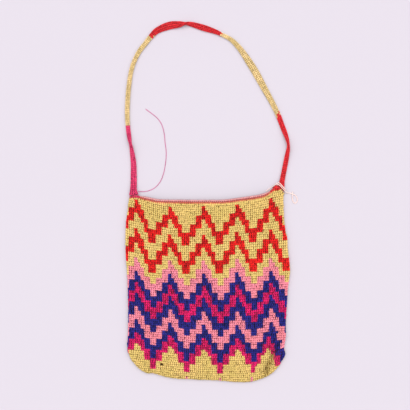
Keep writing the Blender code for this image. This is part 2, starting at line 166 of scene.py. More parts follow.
# Strap: the band's middle line, its own width and thickness, and how far it has turned over
STRAP = np.array([
    # x       y     width  thick  turn
    (-125.4, 11.0, 16.4, 4.4, 0),
    (-125.9, 15.0, 14.0, 4.4, 0),
    (-126.2, 20.0, 12.0, 4.3, 0),
    (-126.0, 28.0, 11.2, 4.0, 0),
    (-125.8, 44.0, 10.8, 3.9, 0),
    (-126.3, 66.0, 9.8, 3.9, 6),
    (-129.2, 88.0, 8.6, 4.8, 50),
    (-131.4, 98.5, 8.2, 5.2, 90),
    (-133.3, 109.0, 8.0, 5.0, 135),
    (-135.4, 125.0, 7.8, 4.6, 172),
    (-136.8, 152.0, 8.2, 4.4, 180),
    (-134.6, 191.0, 8.2, 4.4, 180),
    (-129.0, 226.0, 7.8, 4.4, 180),
    (-118.2, 252.0, 8.2, 4.3, 180),
    (-105.2, 269.4, 8.6, 4.2, 180),
    (-97.6, 279.0, 9.2, 4.1, 180),
    (-85.7, 290.6, 11.0, 3.8, 180),
    (-66.0, 298.6, 13.6, 3.6, 180),
    (-49.0, 300.8, 11.8, 4.2, 196),
    (-41.5, 301.8, 9.6, 4.8, 232),
    (-35.9, 302.0, 8.6, 5.2, 270),
    (-30.0, 301.2, 8.8, 5.0, 308),
    (-22.6, 299.6, 9.4, 4.5, 344),
    (-5.4, 294.4, 11.0, 3.9, 360),
    (12.0, 288.8, 8.6, 4.2, 360),
    (23.8, 283.4, 6.8, 4.8, 360),
    (40.0, 274.6, 7.8, 4.4, 360),
    (55.3, 258.6, 9.8, 4.0, 360),
    (70.4, 236.8, 12.0, 3.7, 360),
    (83.5, 215.2, 12.4, 3.6, 360),
    (96.4, 191.4, 11.0, 3.8, 360),
    (109.5, 167.6, 9.8, 3.9, 360),
    (119.3, 147.2, 9.2, 4.0, 360),
    (127.2, 126.3, 9.0, 4.0, 364),
    (133.4, 110.0, 8.4, 4.6, 400),
    (136.2, 99.0, 8.0, 5.0, 436),
    (136.4, 90.0, 8.0, 5.0, 468),
    (134.2, 77.0, 8.2, 4.8, 512),
    (131.4, 62.0, 8.6, 4.4, 536),
    (128.8, 49.0, 8.8, 4.2, 540),
    (126.0, 35.0, 9.2, 4.2, 540),
    (125.4, 28.6, 10.6, 4.2, 540),
    (124.5, 22.3, 15.0, 4.0, 540),
])
STRAP_SQUARENESS = 0.75      # power of the cross-section: 1 is an ellipse, less is boxier
FOOT_RUN = 26 * MM           # length over which a foot rises to the pouch's shoulder
FOOT_HEIGHT = 4.3 * MM       # middle of the band where it meets the edging
CUT_RUN = 12 * MM            # length over which a foot's cross-sections turn to the shoulder
SHOULDERS = ((1.0, 0.1), (-0.71, 0.70))    # plan directions of the left and right shoulder

THREAD_DIAMETER = 1.1 * MM
THREAD_LAY = 5 * MM          # length of a turn of its plies
THREAD_ROUTE = np.array([
    # x       y      z
    (-118.2, 17.5, 3.3),
    (-115.6, 17.1, 2.1),
    (-112.0, 17.0, 1.1),
    (-106.5, 17.2, 0.6),
    (-100.0, 18.6, 0.6),
    (-93.0, 21.6, 0.6),
    (-86.8, 26.4, 0.6),
    (-81.3, 33.2, 0.6),
    (-77.4, 41.2, 0.6),
    (-74.4, 51.0, 0.6),
    (-72.2, 63.0, 0.6),
    (-70.8, 76.0, 0.6),
    (-71.0, 88.0, 0.6),
    (-72.6, 100.0, 0.6),
    (-73.6, 112.0, 0.6),
    (-76.0, 124.0, 0.6),
    (-80.2, 134.4, 0.6),
    (-86.6, 142.4, 0.6),
    (-94.6, 149.0, 0.6),
    (-106.0, 157.4, 0.6),
]) * MM

STRING_DIAMETER = 1.5 * MM
STRING_LAY = 3 * MM
STRING_ROUTE = np.array([
    # x       y      z
    (98.4, 17.7, 0.75),
    (102.6, 20.4, 0.75),
    (106.6, 23.2, 0.85),
    (109.8, 25.4, 1.7),
    (112.6, 27.5, 3.2),
    (115.2, 29.5, 5.0),
    (117.6, 31.1, 6.6),
    (119.7, 31.8, 7.5),
    (121.8, 30.9, 7.7),
    (124.6, 28.0, 7.5),
    (127.4, 24.9, 7.4),
    (129.5, 22.5, 7.1),
    (131.0, 20.9, 5.8),
    (131.5, 20.4, 4.0),
    (131.0, 21.0, 2.2),
    (129.5, 22.3, 0.95),
    (127.2, 24.0, 0.75),
    (124.2, 25.9, 0.75),
    (121.3, 27.8, 0.85),
    (119.2, 29.0, 1.7),
    (118.2, 29.3, 3.4),
    (118.0, 29.0, 5.3),
    (119.4, 29.2, 7.0),
    (121.5, 27.7, 7.9),
    (124.3, 24.9, 7.9),
    (127.4, 21.5, 7.6),
    (130.0, 18.6, 6.9),
    (132.0, 16.6, 5.2),
    (134.0, 15.2, 2.8),
    (136.6, 14.7, 1.1),
    (140.2, 14.2, 0.75),
    (144.4, 12.8, 0.75),
    (148.4, 10.6, 0.75),
    (151.2, 7.0, 0.75),
    (152.1, 2.6, 0.75),
    (151.0, -1.0, 0.75),
    (148.2, -2.7, 0.75),
    (145.3, -1.2, 0.75),
    (144.0, 3.4, 0.8),
    (143.2, 9.2, 1.7),
    (143.6, 13.2, 2.8),
    (144.6, 17.0, 1.3),
]) * MM

# ---------------- the looping
STITCH_WIDE = 3.34 * MM      # along its round
PEAK_X = -7.1 * MM           # the middle peak of the zigzag, on the front
ROUND = 170                  # stitches in a round: ten repeats of the zigzag
FIRST_ROW, LAST_ROW = -3, 92     # rows whose lie is worked out, more than the bag has

# Where the rows lie on the front: height of a row's upper edge at five places across
LIE_ACROSS = np.array([-120.4, -63.6, -7.1, 48.8, 107.8]) * MM
LIE = np.array([
    # row  left  half left  middle  half right  right
    (-4, 24.4, 11.4, 12.6, 15.2, 26.6),
    (2, 2.7, -10.0, -8.3, -5.8, 5.3),
    (15, -44.9, -55.9, -55.9, -51.7, -46.6),
    (27, -95.0, -100.1, -100.1, -97.6, -95.9),
    (33, -118.0, -122.2, -122.2, -119.7, -118.0),
    (44, -158.8, -162.8, -167.0, -165.6, -161.4),
    (55, -199.6, -204.7, -208.9, -209.0, -204.6),
    (65, -236.6, -241.4, -246.4, -246.4, -243.5),
    (80, -292.0, -297.6, -301.6, -302.2, -298.0),
    (93, -341.0, -346.0, -350.0, -351.0, -347.0),
])

# The zigzag, given as a chart. One repeat across: how many rows below the peak each stitch starts
ZIGZAG = np.array([0, 2, 4, 4, 8, 8, 8, 12, 12, 12, 8, 8, 8, 4, 4, 4, 0])
# Bands down from the mouth, with the rows that each takes
BANDS = (
    ("yellow", 2),
    ("red", 6),
    ("yellow", 7),
    ("red", 6),
    ("yellow", 6),
    ("pink", 6),
    ("blue", 5),
    ("rose", 5),
    ("blue", 6),
    ("pink", 6),
    ("blue", 5),
    ("rose", 5),
    ("yellow", 40),
)
BAND_STARTS = np.cumsum([rows for _, rows in BANDS])[:-1]
# Where the hand left the chart
SHALLOW_ROWS = (34, 68)      # between these rows the valleys are a row less deep
WIDE_VALLEY = 6              # above those rows this stitch of the repeat is in the valley too
LOW_PEAK_ROW = 58            # below this row the peaks are a row less high
BASE_SPOT = (8, 79)          # this stitch of the repeat is pink again from this row on

# The sides of the zigzag's steps lean outwards, more on the right of a peak than on its left
STEP_ROWS = 4                # rows in a step
VALLEY = 8.5                 # stitches from a peak to the middle of the next valley
VALLEY_ROWS = 12.5           # rows from a peak down to the valley
LEAN = np.array([
    # stitches right of a peak, stitches by which a step leans over its rows
    (0.0, 0.3),
    (1.2, 0.9),
    (3.5, 0.6),
    (6.0, 0.3),
    (9.5, -0.2),
    (15.8, -0.25),
    (17.0, 0.3),
])

# Unevenness of the hand: waves that carry the stitches aside, and up or down
ASIDE_WAVES = (
    # height, metres of x and of y to a radian, phase
    (0.45 * MM, math.inf, 0.031, 1.0),
    (0.35 * MM, 0.021, 0.013, 0.0),
)
UP_WAVES = (
    (0.40 * MM, 0.017, 0.040, 0.0),
    (0.35 * MM, 0.0094, 0.018, 2.0),
)

# A leg of a stitch: from its root, over the cloth, to where the next row holds it down
LEG = np.array([
    # aside   up    proud  thickness (the first two are shares of the stitch, proud is in mm)
    (0.09, -0.56, -0.35, 0.0),
    (0.24, -0.24, 0.08, 1.05),
    (0.32, 0.08, 0.22, 1.05),
    (0.38, 0.42, 0.10, 0.91),
    (0.43, 0.97, -0.40, 0.0),
])
# A leg of the edging's stitches, which are pulled tighter
EDGE_LEG = np.array([
    # aside   up    proud  thickness
    (0.02, -0.74, -0.30, 0.0),
    (0.09, -0.42, 0.02, 0.70),
    (0.21, -0.02, 0.20, 1.0),
    (0.30, 0.34, 0.12, 0.96),
    (0.32, 0.66, -0.35, 0.0),
])
YARN_ACROSS = 0.76 * MM      # half the yarn's width on the cloth
YARN_THROUGH = 0.50 * MM     # half its thickness
FULLER_YARNS = ("yellow", "pink")
FULLER = 0.12                # how much fuller these are, as a share
PROUD_YARNS = ("red", "rose", "blue")
PROUD = 0.18 * MM            # how far these, worked tighter, stand above the fuller ones
SCATTER = 0.06               # spread of the stitches' widths and fullness about the usual ones
STRAY = 0.22 * MM            # spread of their places on the cloth
STRAY_OUT = 0.3              # the share of that by which they stray in and out
LOOSE_SHARE = 0.12           # share of the stitches that are loose
LOOSE_WIDER = 0.20           # how much wider those are, as a share
LOOSE_THINNER = 0.30         # and how much less full
SHORTEST = 0.7 * STITCH_WIDE     # no stitch is drawn up shorter than this
SKIN_DEPTH = 0.75 * MM       # the cloth under the stitches lies this far below their tops
CLOTH_THICK = 0.9 * MM
RIM_GAP = 0.42 * STITCH_WIDE     # no stitch's middle comes nearer than this to the mouth's edge
RIM_ROWS = 0.25 * STITCH_WIDE    # rows that would lie this far above the edge are still worked
FOLD_LAP = 0.4 * MM          # the front's stitches lap the back's by this much in the fold
MOUTH_LAP = 6 * MM           # how far past the mouth's ends its rows go
SPARE_COLUMNS = 2            # columns tried past each fold; those off the cloth are dropped
LOST_STITCH = np.array([-77.0, -276.0]) * MM   # a small hole in the base
HOLE_RADIUS = 0.75 * STITCH_WIDE
RED_FROM = np.array([110.0, 19.0]) * MM        # right of this and above it the stitches are red


# ---------------- curves
CURVE_STEPS = 12             # points from one row of a table to the next


def smooth_curve(rows):
    """Catmull-Rom curve through a table's rows: each span is a cubic whose end slopes are half the
    difference of its neighbours."""
    rows = np.asarray(rows, dtype=float)
    padded = np.vstack([2 * rows[0] - rows[1], rows, 2 * rows[-1] - rows[-2]])
    t = np.linspace(0, 1, CURVE_STEPS, endpoint=False)[None, :, None]
    p0, p1, p2, p3 = (padded[i:len(padded) - 3 + i, None, :] for i in range(4))
    spans = 0.5 * (2 * p1 + (p2 - p0) * t + (2 * p0 - 5 * p1 + 4 * p2 - p3) * t ** 2
                   + (3 * p1 - p0 - 3 * p2 + p3) * t ** 3)
    return np.vstack([spans.reshape(-1, rows.shape[1]), rows[-1:]])


def lengths_along(curve, measured=2):
    """Distance along a curve to each of its points: the running sum of the steps between them,
    measured in its first two columns or more."""
    steps = np.linalg.norm(np.diff(curve[:, :measured], axis=0), axis=1)
    return np.concatenate([[0.0], np.cumsum(steps)])


def at_lengths(curve, along, stations):
    """All columns of a curve at distances along it, by straight reading between its points."""
    return np.column_stack([np.interp(stations, along, column) for column in curve.T])


def every_pair(first, second):
    """Each value of the first with each of the second, as two flat arrays, the second's faster."""
    return (grid.ravel() for grid in np.meshgrid(first, second, indexing="ij"))


def round_angles(count):
    """Even angles round a circle, along the middle way of an array that has three."""
    return np.linspace(0, 2 * math.pi, count, endpoint=False)[None, :, None]


def unit(vectors):
    """Vectors over their own length."""
    return vectors / np.linalg.norm(vectors, axis=-1, keepdims=True)


def ease(x):
    """Smooth step from 0 to 1: 3 x^2 - 2 x^3, held at both ends."""
    x = np.clip(x, 0, 1)
    return x * x * (3 - 2 * x)


# ---------------- the pouch's surface
def even_line(rows, spacing):
    """A smooth line at even spacing, its direction, and the side that lies to its left."""
    curve = smooth_curve(rows)
    along = lengths_along(curve)
    stations = np.linspace(0, along[-1], round(along[-1] / spacing))
    line = at_lengths(curve, along, stations)
    ahead = unit(np.gradient(line, axis=0))
    return line, ahead, np.column_stack([-ahead[:, 1], ahead[:, 0]])


FOLD_LINE, FOLD_AHEAD, FOLD_INWARDS = even_line(FOLD, spacing=1.5 * MM)
LEFT_LINE = even_line(MOUTH[LEFT_SHOULDER], spacing=1.0 * MM)[0]
RIGHT_LINE = even_line(MOUTH[RIGHT_SHOULDER], spacing=1.0 * MM)[0]
MOUTH_LINE = smooth_curve(MOUTH)


def nearest(points, line):
    """For each point, the number of the line's nearest point and the distance to it."""
    squares = (points ** 2).sum(1)[:, None] + (line ** 2).sum(1)[None] - 2 * points @ line.T
    number = squares.argmin(axis=1)
    return number, np.sqrt(np.maximum(squares[np.arange(len(points)), number], 0))


def beside_fold(flat):
    """How far inside the fold each point lies, its foot on the fold, and the way inwards there."""
    number, _ = nearest(flat, FOLD_LINE)
    off = flat - FOLD_LINE[number]
    inside = (off * FOLD_INWARDS[number]).sum(1)
    ahead = (off * FOLD_AHEAD[number]).sum(1)
    return inside, FOLD_LINE[number] + FOLD_AHEAD[number] * ahead[:, None], FOLD_INWARDS[number]


def crease_parts(flat):
    """Share of the way along the crease and distance across it, positive on its right."""
    run = CREASE_END - CREASE_START
    off = flat - CREASE_START
    along = off @ run / (run @ run)
    across = (off[:, 1] * run[0] - off[:, 0] * run[1]) / np.linalg.norm(run)
    return along, across


def tucked(flat):
    """How many stitches of its round the crease has drawn away before each point of the front: none
    far left of it or above it, the whole tuck beside it, by smooth steps."""
    along, across = crease_parts(flat)
    closing = ease((across + TUCK_REACH) / (TUCK_CLOSE * TUCK_REACH))
    return CREASE_TUCK * closing * ease((along + TUCK_ABOVE) / TUCK_COMES)


def front_relief(flat):
    """Bell-shaped hollows and swellings, less the crease: a bell-shaped trough with faded ends."""
    relief = np.zeros(len(flat))
    for x, y, reach, height in RELIEF:
        relief += height * np.exp(-((flat[:, 0] - x) ** 2 + (flat[:, 1] - y) ** 2) / reach ** 2)
    along, across = crease_parts(flat)
    from_end = np.minimum(along + CREASE_BEYOND, 1 + CREASE_RUN_OUT - along)
    trough = np.clip(from_end / CREASE_RUN_OUT, 0, 1) * np.exp(-(across / CREASE_WIDTH) ** 2)
    return relief - CREASE_DEPTH * trough


def skin(flat, front, depth, wrapped=True):
    """Points of the cloth's skin, depth below its outside.

    The skin turns into the fold on a quarter circle of the fold's radius: a point that is d inside
    the fold has turned by (radius - d) / radius when it is measured along the cloth (wrapped), or
    by asin(1 - d / radius) when it is measured in plan. The front rises to its crown as a quarter
    sine wave away from the fold and the shoulders. Its relief on top comes on over two more of the
    fold's radii. The back lies flat.
    """
    inside, foot, inwards = beside_fold(flat)
    short = (FOLD_RADIUS - inside) / FOLD_RADIUS
    turn = np.clip(short, 0, math.pi) if wrapped else np.arcsin(np.clip(short, 0, 1))
    bent = (turn > 0)[:, None]
    out = (FOLD_RADIUS - depth) * np.sin(turn)[:, None]
    plan = np.where(bent, foot + inwards * (FOLD_RADIUS - out), flat)
    level = (FOLD_RADIUS - depth) * np.cos(turn)
    if not front:
        return np.column_stack([plan, FOLD_RADIUS - level])
    away = np.where(turn > 0, FOLD_RADIUS * (1 - np.sin(turn)), inside)
    held = np.minimum(nearest(plan, LEFT_LINE)[1], nearest(plan, RIGHT_LINE)[1]) + FOLD_RADIUS
    free = np.minimum(away, held) - FOLD_RADIUS
    rise = np.sin(np.clip(free / CROWN_REACH, 0, 1) * math.pi / 2)
    relief = front_relief(plan) * np.clip(free / (2 * FOLD_RADIUS), 0, 1)
    return np.column_stack([plan, FOLD_RADIUS + level + CROWN * rise + relief])


def mouth_height(x, front):
    """Height in plan of the mouth's edge at x; the back's comes up a little above the front's."""
    height = np.interp(x, MOUTH_LINE[:, 0], MOUTH_LINE[:, 1])
    if front:
        return height
    ends = MOUTH[0, 0], MOUTH[-1, 0]
    from_end = np.minimum(x - ends[0], ends[1] - x) / (0.5 * (ends[1] - ends[0]))
    return height + BACK_RISE * np.sin(np.clip(from_end / BACK_RISE_SHARE, 0, 1) * math.pi / 2)


# ---------------- rows and columns
LEFT_X, RIGHT_X = FOLD[:, 0].min(), FOLD[:, 0].max()
FOLD_SLACK = (math.pi / 2 - 1) * FOLD_RADIUS     # cloth in the fold beyond its outline
RIGHT_COLUMN = (RIGHT_X + FOLD_SLACK - PEAK_X) / STITCH_WIDE
LEFT_COLUMN = (LEFT_X - FOLD_SLACK - PEAK_X) / STITCH_WIDE
BACK_COLUMNS = ROUND - (RIGHT_COLUMN - LEFT_COLUMN)
BACK_WIDE = (RIGHT_X - LEFT_X + 2 * FOLD_SLACK) / BACK_COLUMNS
LIE_BEYOND = 12 * MM         # how far past the fold the rows' heights are worked out
LIE_STEPS = 120              # places across at which they are


def lie_grid():
    """The rows' heights on a fine grid: smooth curves down the table and then across it, carried
    straight on past the first and the last place in it."""
    rows = np.arange(FIRST_ROW, LAST_ROW + 1)
    down = smooth_curve(LIE)
    columns = at_lengths(down, down[:, 0], rows)[:, 1:] * MM
    across = smooth_curve(np.column_stack([LIE_ACROSS, columns.T]))
    places = np.linspace(LEFT_X - LIE_BEYOND, RIGHT_X + LIE_BEYOND, LIE_STEPS)
    first, second = across[0], across[CURVE_STEPS]
    last, before = across[-1], across[-1 - CURVE_STEPS]
    lead = first - (second - first) * (first[0] - places[0]) / (second[0] - first[0])
    tail = last + (last - before) * (places[-1] - last[0]) / (last[0] - before[0])
    whole = np.vstack([lead, across, tail])
    return rows, places, at_lengths(whole, whole[:, 0], places)[:, 1:].T


LIE_ROWS, LIE_PLACES, LIE_HEIGHTS = lie_grid()


def row_height(x, row):
    """Height in plan of a row at x, read between the grid's four nearest values. Outside the grid,
    the values just inside its edge count."""
    just_inside = 1.001
    i = np.clip(row - LIE_ROWS[0], 0, len(LIE_ROWS) - just_inside)
    j = (x - LIE_PLACES[0]) / (LIE_PLACES[1] - LIE_PLACES[0])
    j = np.clip(j, 0, len(LIE_PLACES) - just_inside)
    i0, j0 = i.astype(int), j.astype(int)
    a, b = i - i0, j - j0
    upper = LIE_HEIGHTS[i0, j0] * (1 - b) + LIE_HEIGHTS[i0, j0 + 1] * b
    lower = LIE_HEIGHTS[i0 + 1, j0] * (1 - b) + LIE_HEIGHTS[i0 + 1, j0 + 1] * b
    return upper * (1 - a) + lower * a


def column_x(column, front):
    """Where a column lies across the bag: even steps, running back again behind it."""
    if front:
        return PEAK_X + column * STITCH_WIDE
    return RIGHT_X + FOLD_SLACK - (column - RIGHT_COLUMN) * BACK_WIDE


def column_at(x, front):
    """The column that lies at x."""
    if front:
        return (x - PEAK_X) / STITCH_WIDE
    return RIGHT_COLUMN + (RIGHT_X + FOLD_SLACK - x) / BACK_WIDE


def row_at(x, y):
    """The row that lies at a place, to the nearest half: where the rows' heights there pass y."""
    rows = np.arange(FIRST_ROW, LAST_ROW, 0.5)
    heights = row_height(x[:, None] + 0 * rows, rows + 0 * x[:, None])
    return rows[np.abs(heights - y[:, None]).argmin(axis=1)]


def waves(x, y, table):
    """Sum of a table's sine waves over the cloth."""
    return sum(height * np.sin(x / x_long + y / y_long + phase)
               for height, x_long, y_long, phase in table)


def lean(column, row):
    """How far along its round a stitch leans with the step that it belongs to, in stitches.

    It is a saw wave of the row, counted from a change of yarn, so that each step's side leans from
    minus to plus half of the table's lean. Between two changes of yarn their waves are blended.
    """
    aside = column % len(ZIGZAG)
    depth = row - VALLEY_ROWS * (1 - np.abs(aside / VALLEY - 1))
    number = np.clip(np.searchsorted(BAND_STARTS, depth, side="right"), 1, len(BAND_STARTS) - 1)
    above, below = BAND_STARTS[number - 1], BAND_STARTS[number]
    share = ease((depth - above) / (below - above))
    first, second = ((row - start) / STEP_ROWS % 1 - 0.5 for start in (above, below))
    return np.interp(aside, *LEAN.T) * (first * (1 - share) + second * share)


def at_right_shoulder(flat):
    """Whether flat points lie in the last rows below the right foot, worked in the strap's red."""
    return (flat[:, 0] > RED_FROM[0]) & (flat[:, 1] > RED_FROM[1])


def place(column, row, front, held=True):
    """Flat place of a stitch. Rows that would stand above the mouth's edge are held below it, and
    right of the crease the cloth has slipped down."""
    x = column_x(column, front)
    y = row_height(x, row)
    flat = np.column_stack([x + waves(x, y, ASIDE_WAVES), y + waves(x, y, UP_WAVES)])
    if held:
        flat[:, 1] = np.minimum(flat[:, 1], mouth_height(x, front) - RIM_GAP)
    if front:
        along, across = crease_parts(flat)
        slipped = ease(across / CREASE_WIDTH) * ease((along + SLIP_ABOVE) / SLIP_ABOVE)
        flat[:, 1] -= CREASE_SLIP * slipped
    return flat


def chart(column, row):
    """The yarn of each stitch: its row, less the zigzag's depth at its column, looked up in the
    running sum of the bands' rows, with the hand's departures from the chart."""
    aside = np.floor(column).astype(int) % len(ZIGZAG)
    deepest = ZIGZAG.max()
    shallow = (row > SHALLOW_ROWS[0]) & (row < SHALLOW_ROWS[1])
    steps = np.where((aside == WIDE_VALLEY) & (row < SHALLOW_ROWS[0]), deepest, ZIGZAG[aside])
    steps = np.where((steps == deepest) & shallow, deepest - 1, steps)
    steps = np.where((steps == 0) & (row > LOW_PEAK_ROW), 1, steps)
    band = np.searchsorted(BAND_STARTS, row - steps, side="right")
    names = np.array([name for name, _ in BANDS])[band]
    return np.where((aside == BASE_SPOT[0]) & (row >= BASE_SPOT[1]), "pink", names)


def yarn_of(column, row, flat, front):
    """The yarn of stitches, from their columns, rows and flat places: the chart's, counted on past
    the tuck on the front, and the strap's red below its right foot."""
    tuck = tucked(flat) if front else 0.0
    return np.where(at_right_shoulder(flat), "red", chart(column + tuck, row))


# ---------------- meshes
def add_object(name, data):
    """A new object in the scene that shows the data."""
    thing = bpy.data.objects.new(name, data)
    bpy.context.scene.collection.objects.link(thing)
    return thing


def add_piece(name, vertices, quads, triangles, attributes, material):
    """A mesh object from whole arrays of corners, with values or colours stored on its points."""
    quads = np.asarray(quads, dtype=np.int32).reshape(-1, 4)
    triangles = np.asarray(triangles, dtype=np.int32).reshape(-1, 3)
    loops = np.concatenate([quads.ravel(), triangles.ravel()])
    starts = np.concatenate([np.arange(len(quads)) * 4,
                             len(quads) * 4 + np.arange(len(triangles)) * 3])
    mesh = bpy.data.meshes.new(name)
    mesh.vertices.add(len(vertices))
    mesh.vertices.foreach_set("co", np.asarray(vertices, dtype=np.float32).ravel())
    mesh.loops.add(len(loops))
    mesh.loops.foreach_set("vertex_index", loops)
    mesh.polygons.add(len(starts))
    mesh.polygons.foreach_set("loop_start", starts.astype(np.int32))
    mesh.update(calc_edges=True)
    mesh.shade_smooth()
    for key, values in attributes.items():
        values = np.asarray(values, dtype=np.float32)
        kind = "FLOAT" if values.ndim == 1 else "FLOAT_COLOR"
        field = "value" if values.ndim == 1 else "color"
        mesh.attributes.new(key, kind, "POINT").data.foreach_set(field, values.ravel())
    mesh.materials.append(material)
    return add_object(name, mesh)


def grid_quads(rows, columns, closed=False):
    """Corners of a grid of quads, numbered by rows; closed joins the last column to the first."""
    i, j = np.meshgrid(np.arange(rows - 1), np.arange(columns - (not closed)), indexing="ij")
    k = (j + 1) % columns
    corners = [i * columns + j, i * columns + k, (i + 1) * columns + k, (i + 1) * columns + j]
    return np.stack(corners, axis=-1).reshape(-1, 4)


def tip_fans(sides, start, first, finish, last):
    """Triangles that close a tube: from its start point to its first ring's corners, and from its
    finish point to its last ring's. Each ring is given by the number of its first corner."""
    j = np.arange(sides)
    k = (j + 1) % sides
    return np.vstack([np.column_stack([start + 0 * j, first + k, first + j]),
                      np.column_stack([finish + 0 * j, last + j, last + k])])


def facing_out(vertices, quads, triangles):
    """The same faces, turned over if the volume that they enclose comes out negative."""
    halves = np.vstack([quads[:, [0, 1, 2]], quads[:, [0, 2, 3]], triangles])
    a, b, c = (vertices[halves[:, i]] for i in range(3))
    if (a * np.cross(b, c)).sum() < 0:
        return quads[:, ::-1], triangles[:, ::-1]
    return quads, triangles


def leg_template(leg, side):
    """One leg of a stitch in its own cell.

    Its middle follows the leg's table, mirrored by side. Each ring has four corners, under, outer
    side, top and inner side, set off square to the leg's way across the cloth; both tips are
    single points. Columns: share aside, share up, then metres aside, up and out, then the share
    along the leg, the share round it and its fullness.
    """
    middle = leg[:, :2] * (side, 1)
    way = unit(np.gradient(middle, axis=0))
    off = np.column_stack([way[:, 1], -way[:, 0]]) * side
    around = np.array([(0, -1), (1, 0), (0, 1), (-1, 0)])
    sides, rings = len(around), len(leg) - 2
    rows = []
    for i, (_, _, proud, thick) in enumerate(leg):
        corners = around if thick else around[:1] * 0
        for j, (wide, high) in enumerate(corners):
            rows.append((*middle[i], *(off[i] * wide * thick * YARN_ACROSS),
                         proud * MM + high * thick * YARN_THROUGH,
                         i / (len(leg) - 1), j / sides, thick))
    rows = np.array(rows)
    shape = np.column_stack([rows[:, :2] * STITCH_WIDE + rows[:, 2:4], rows[:, 4]])
    tip = 1 + rings * sides
    quads = 1 + grid_quads(rings, sides, closed=True)
    return rows, *facing_out(shape, quads, tip_fans(sides, 0, 1, tip, tip - sides))


def stitch_template(leg):
    """Both legs of a stitch as one set of corners and faces."""
    right, left = leg_template(leg, 1), leg_template(leg, -1)
    count = len(right[0])
    return (np.vstack([right[0], left[0]]), np.vstack([right[1], left[1] + count]),
            np.vstack([right[2], left[2] + count]))


STITCH, EDGE_STITCH = stitch_template(LEG), stitch_template(EDGE_LEG)


def add_stitches(name, origin, right, up, material, spread, fullness, stitch):
    """Many stitches as one mesh.

    A corner's place is the stitch's origin, plus its shares of the cell's own right and up vectors,
    plus its metres along their directions and along the outward direction, which is right x up.
    The tone of each leg is the square of an even chance, so that few of them are dark.
    """
    corners, quads, triangles = stitch
    count = len(origin)
    aside, upward, out = unit(right), unit(up), unit(np.cross(right, up))
    share_x, share_y, metres_x, metres_y, metres_z, along, around, full = corners.T
    points = (origin[:, None]
              + right[:, None] * (share_x[None] * spread[:, None])[..., None]
              + up[:, None] * share_y[None, :, None]
              + aside[:, None] * (metres_x[None] * fullness[:, None])[..., None]
              + upward[:, None] * (metres_y[None] * fullness[:, None])[..., None]
              + out[:, None] * metres_z[None, :, None])
    shift = (np.arange(count) * len(corners))[:, None, None]
    attributes = {
        "tone": np.repeat(CHANCE.random(2 * count) ** 2, len(corners) // 2),
        "along": np.tile(along, count),
        "around": np.tile(around, count),
        "full": np.tile(full, count),
    }
    return add_piece(name, points.reshape(-1, 3), quads + shift, triangles + shift, attributes,
                     material)


def add_by_yarn(group, yarns, origin, right, up, finishes, spread, fullness, stitch):
    """Stitches of several yarns as a piece for each yarn, named for the group and the yarn."""
    pieces = []
    for name in sorted(set(yarns)):
        mine = yarns == name
        pieces.append(add_stitches(f"{group}_{name}_stitches", origin[mine], right[mine], up[mine],
                                   finishes[name], spread[mine], fullness[mine], stitch))
    return pieces


def ride_all(pieces):
    """All pieces ride on the one body."""
    for piece in pieces:
        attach(piece, "root")
    return pieces


# ---------------- finishes
YARNS = {
    # name: main colour, colour it drifts to, how much darker its darkest stitches are
    "yellow": ((0.845, 0.60, 0.20), (0.75, 0.57, 0.165), 0.24),
    "red": ((1.0, 0.018, 0.014), (0.82, 0.010, 0.010), 0.64),
    "pink": ((0.95, 0.295, 0.38), (0.94, 0.28, 0.315), 0.26),
    "blue": ((0.030, 0.028, 0.28), (0.014, 0.018, 0.22), 0.72),
    "rose": ((0.92, 0.014, 0.18), (0.72, 0.010, 0.12), 0.66),
    "edge_red": ((0.74, 0.16, 0.12), (0.66, 0.12, 0.10), 0.3),
    # the edging's red lightened to coral: painted highlight on the edging's lit outer top
    "edge_coral": ((0.90, 0.46, 0.45), (0.86, 0.37, 0.36), 0.25),
    "edge_peach": ((0.86, 0.24, 0.13), (0.80, 0.20, 0.11), 0.3),
    "edge_rose": ((0.86, 0.06, 0.16), (0.74, 0.04, 0.10), 0.3),
    "edge_scarlet": ((0.90, 0.05, 0.05), (0.76, 0.03, 0.035), 0.3),
    "strap_rose": ((0.96, 0.08, 0.22), (0.82, 0.045, 0.16), 0.5),
    "strap_olive": ((1.0, 0.75, 0.365), (0.82, 0.62, 0.26), 0.45),
    "strap_red": ((0.96, 0.042, 0.052), (0.86, 0.028, 0.036), 0.5),
    "white": ((0.96, 0.77, 0.69), (0.90, 0.68, 0.60), 0.1),
    "hot_pink": ((0.64, 0.12, 0.30), (0.50, 0.10, 0.24), 0.1),
}
BLACK = (0.0, 0.0, 0.0)
PATCH_DARK = (0.02, 0.015, 0.01)   # what the ground's colour darkens towards in random patches
TWISTS = 3.0                 # turns of the plies along a leg of a stitch
# Lumps per metre of the noise for a yarn's slow drift, its fibres, the ground's darker patches and
# its bumps
DRIFT_LUMPS, FIBRE_LUMPS, PATCH_LUMPS, BUMP_LUMPS = 55.0, 2600.0, 300.0, 900.0
# The mixes: a low and a high value of what drives them, and the second colour's share at each
DRIFT_MIX = (0.35, 0.65, 0.0, 0.8)
PLY_SHADE_MIX = (0.0, 0.5, 0.16, 0.0)
ROOT_SHADE_MIX = (0.0, 0.9, 0.75, 0.0)
FIBRE_MIX = (0.56, 0.72, 0.0, 0.35)
PATCH_MIX = (0.3, 0.7, 0.0, 0.4)
# Fibres are this many times as bright as the yarn, and brighter still by this much
FIBRE_GAIN, FIBRE_LIFT = 1.25, 0.05


def feed(tree, node, inputs):
    """Feed a node's inputs, given by number or name: with another node's output, or with a value of
    their own. A colour gets full alpha."""
    for key, value in inputs.items():
        socket = node.inputs[key]
        if isinstance(value, bpy.types.NodeSocket):
            tree.links.new(value, socket)
        else:
            socket.default_value = (*value, 1.0) if socket.type == "RGBA" else value


def add_node(tree, kind, inputs, **settings):
    """A shader node with its properties set and its inputs fed."""
    node = tree.nodes.new(kind)
    for key, value in settings.items():
        setattr(node, key, value)
    feed(tree, node, inputs)
    return node


def mixed(tree, factor, first, second):
    """Mix of two colours by a factor."""
    inputs = {0: factor, 6: first, 7: second}
    return add_node(tree, "ShaderNodeMix", inputs, data_type="RGBA").outputs[2]


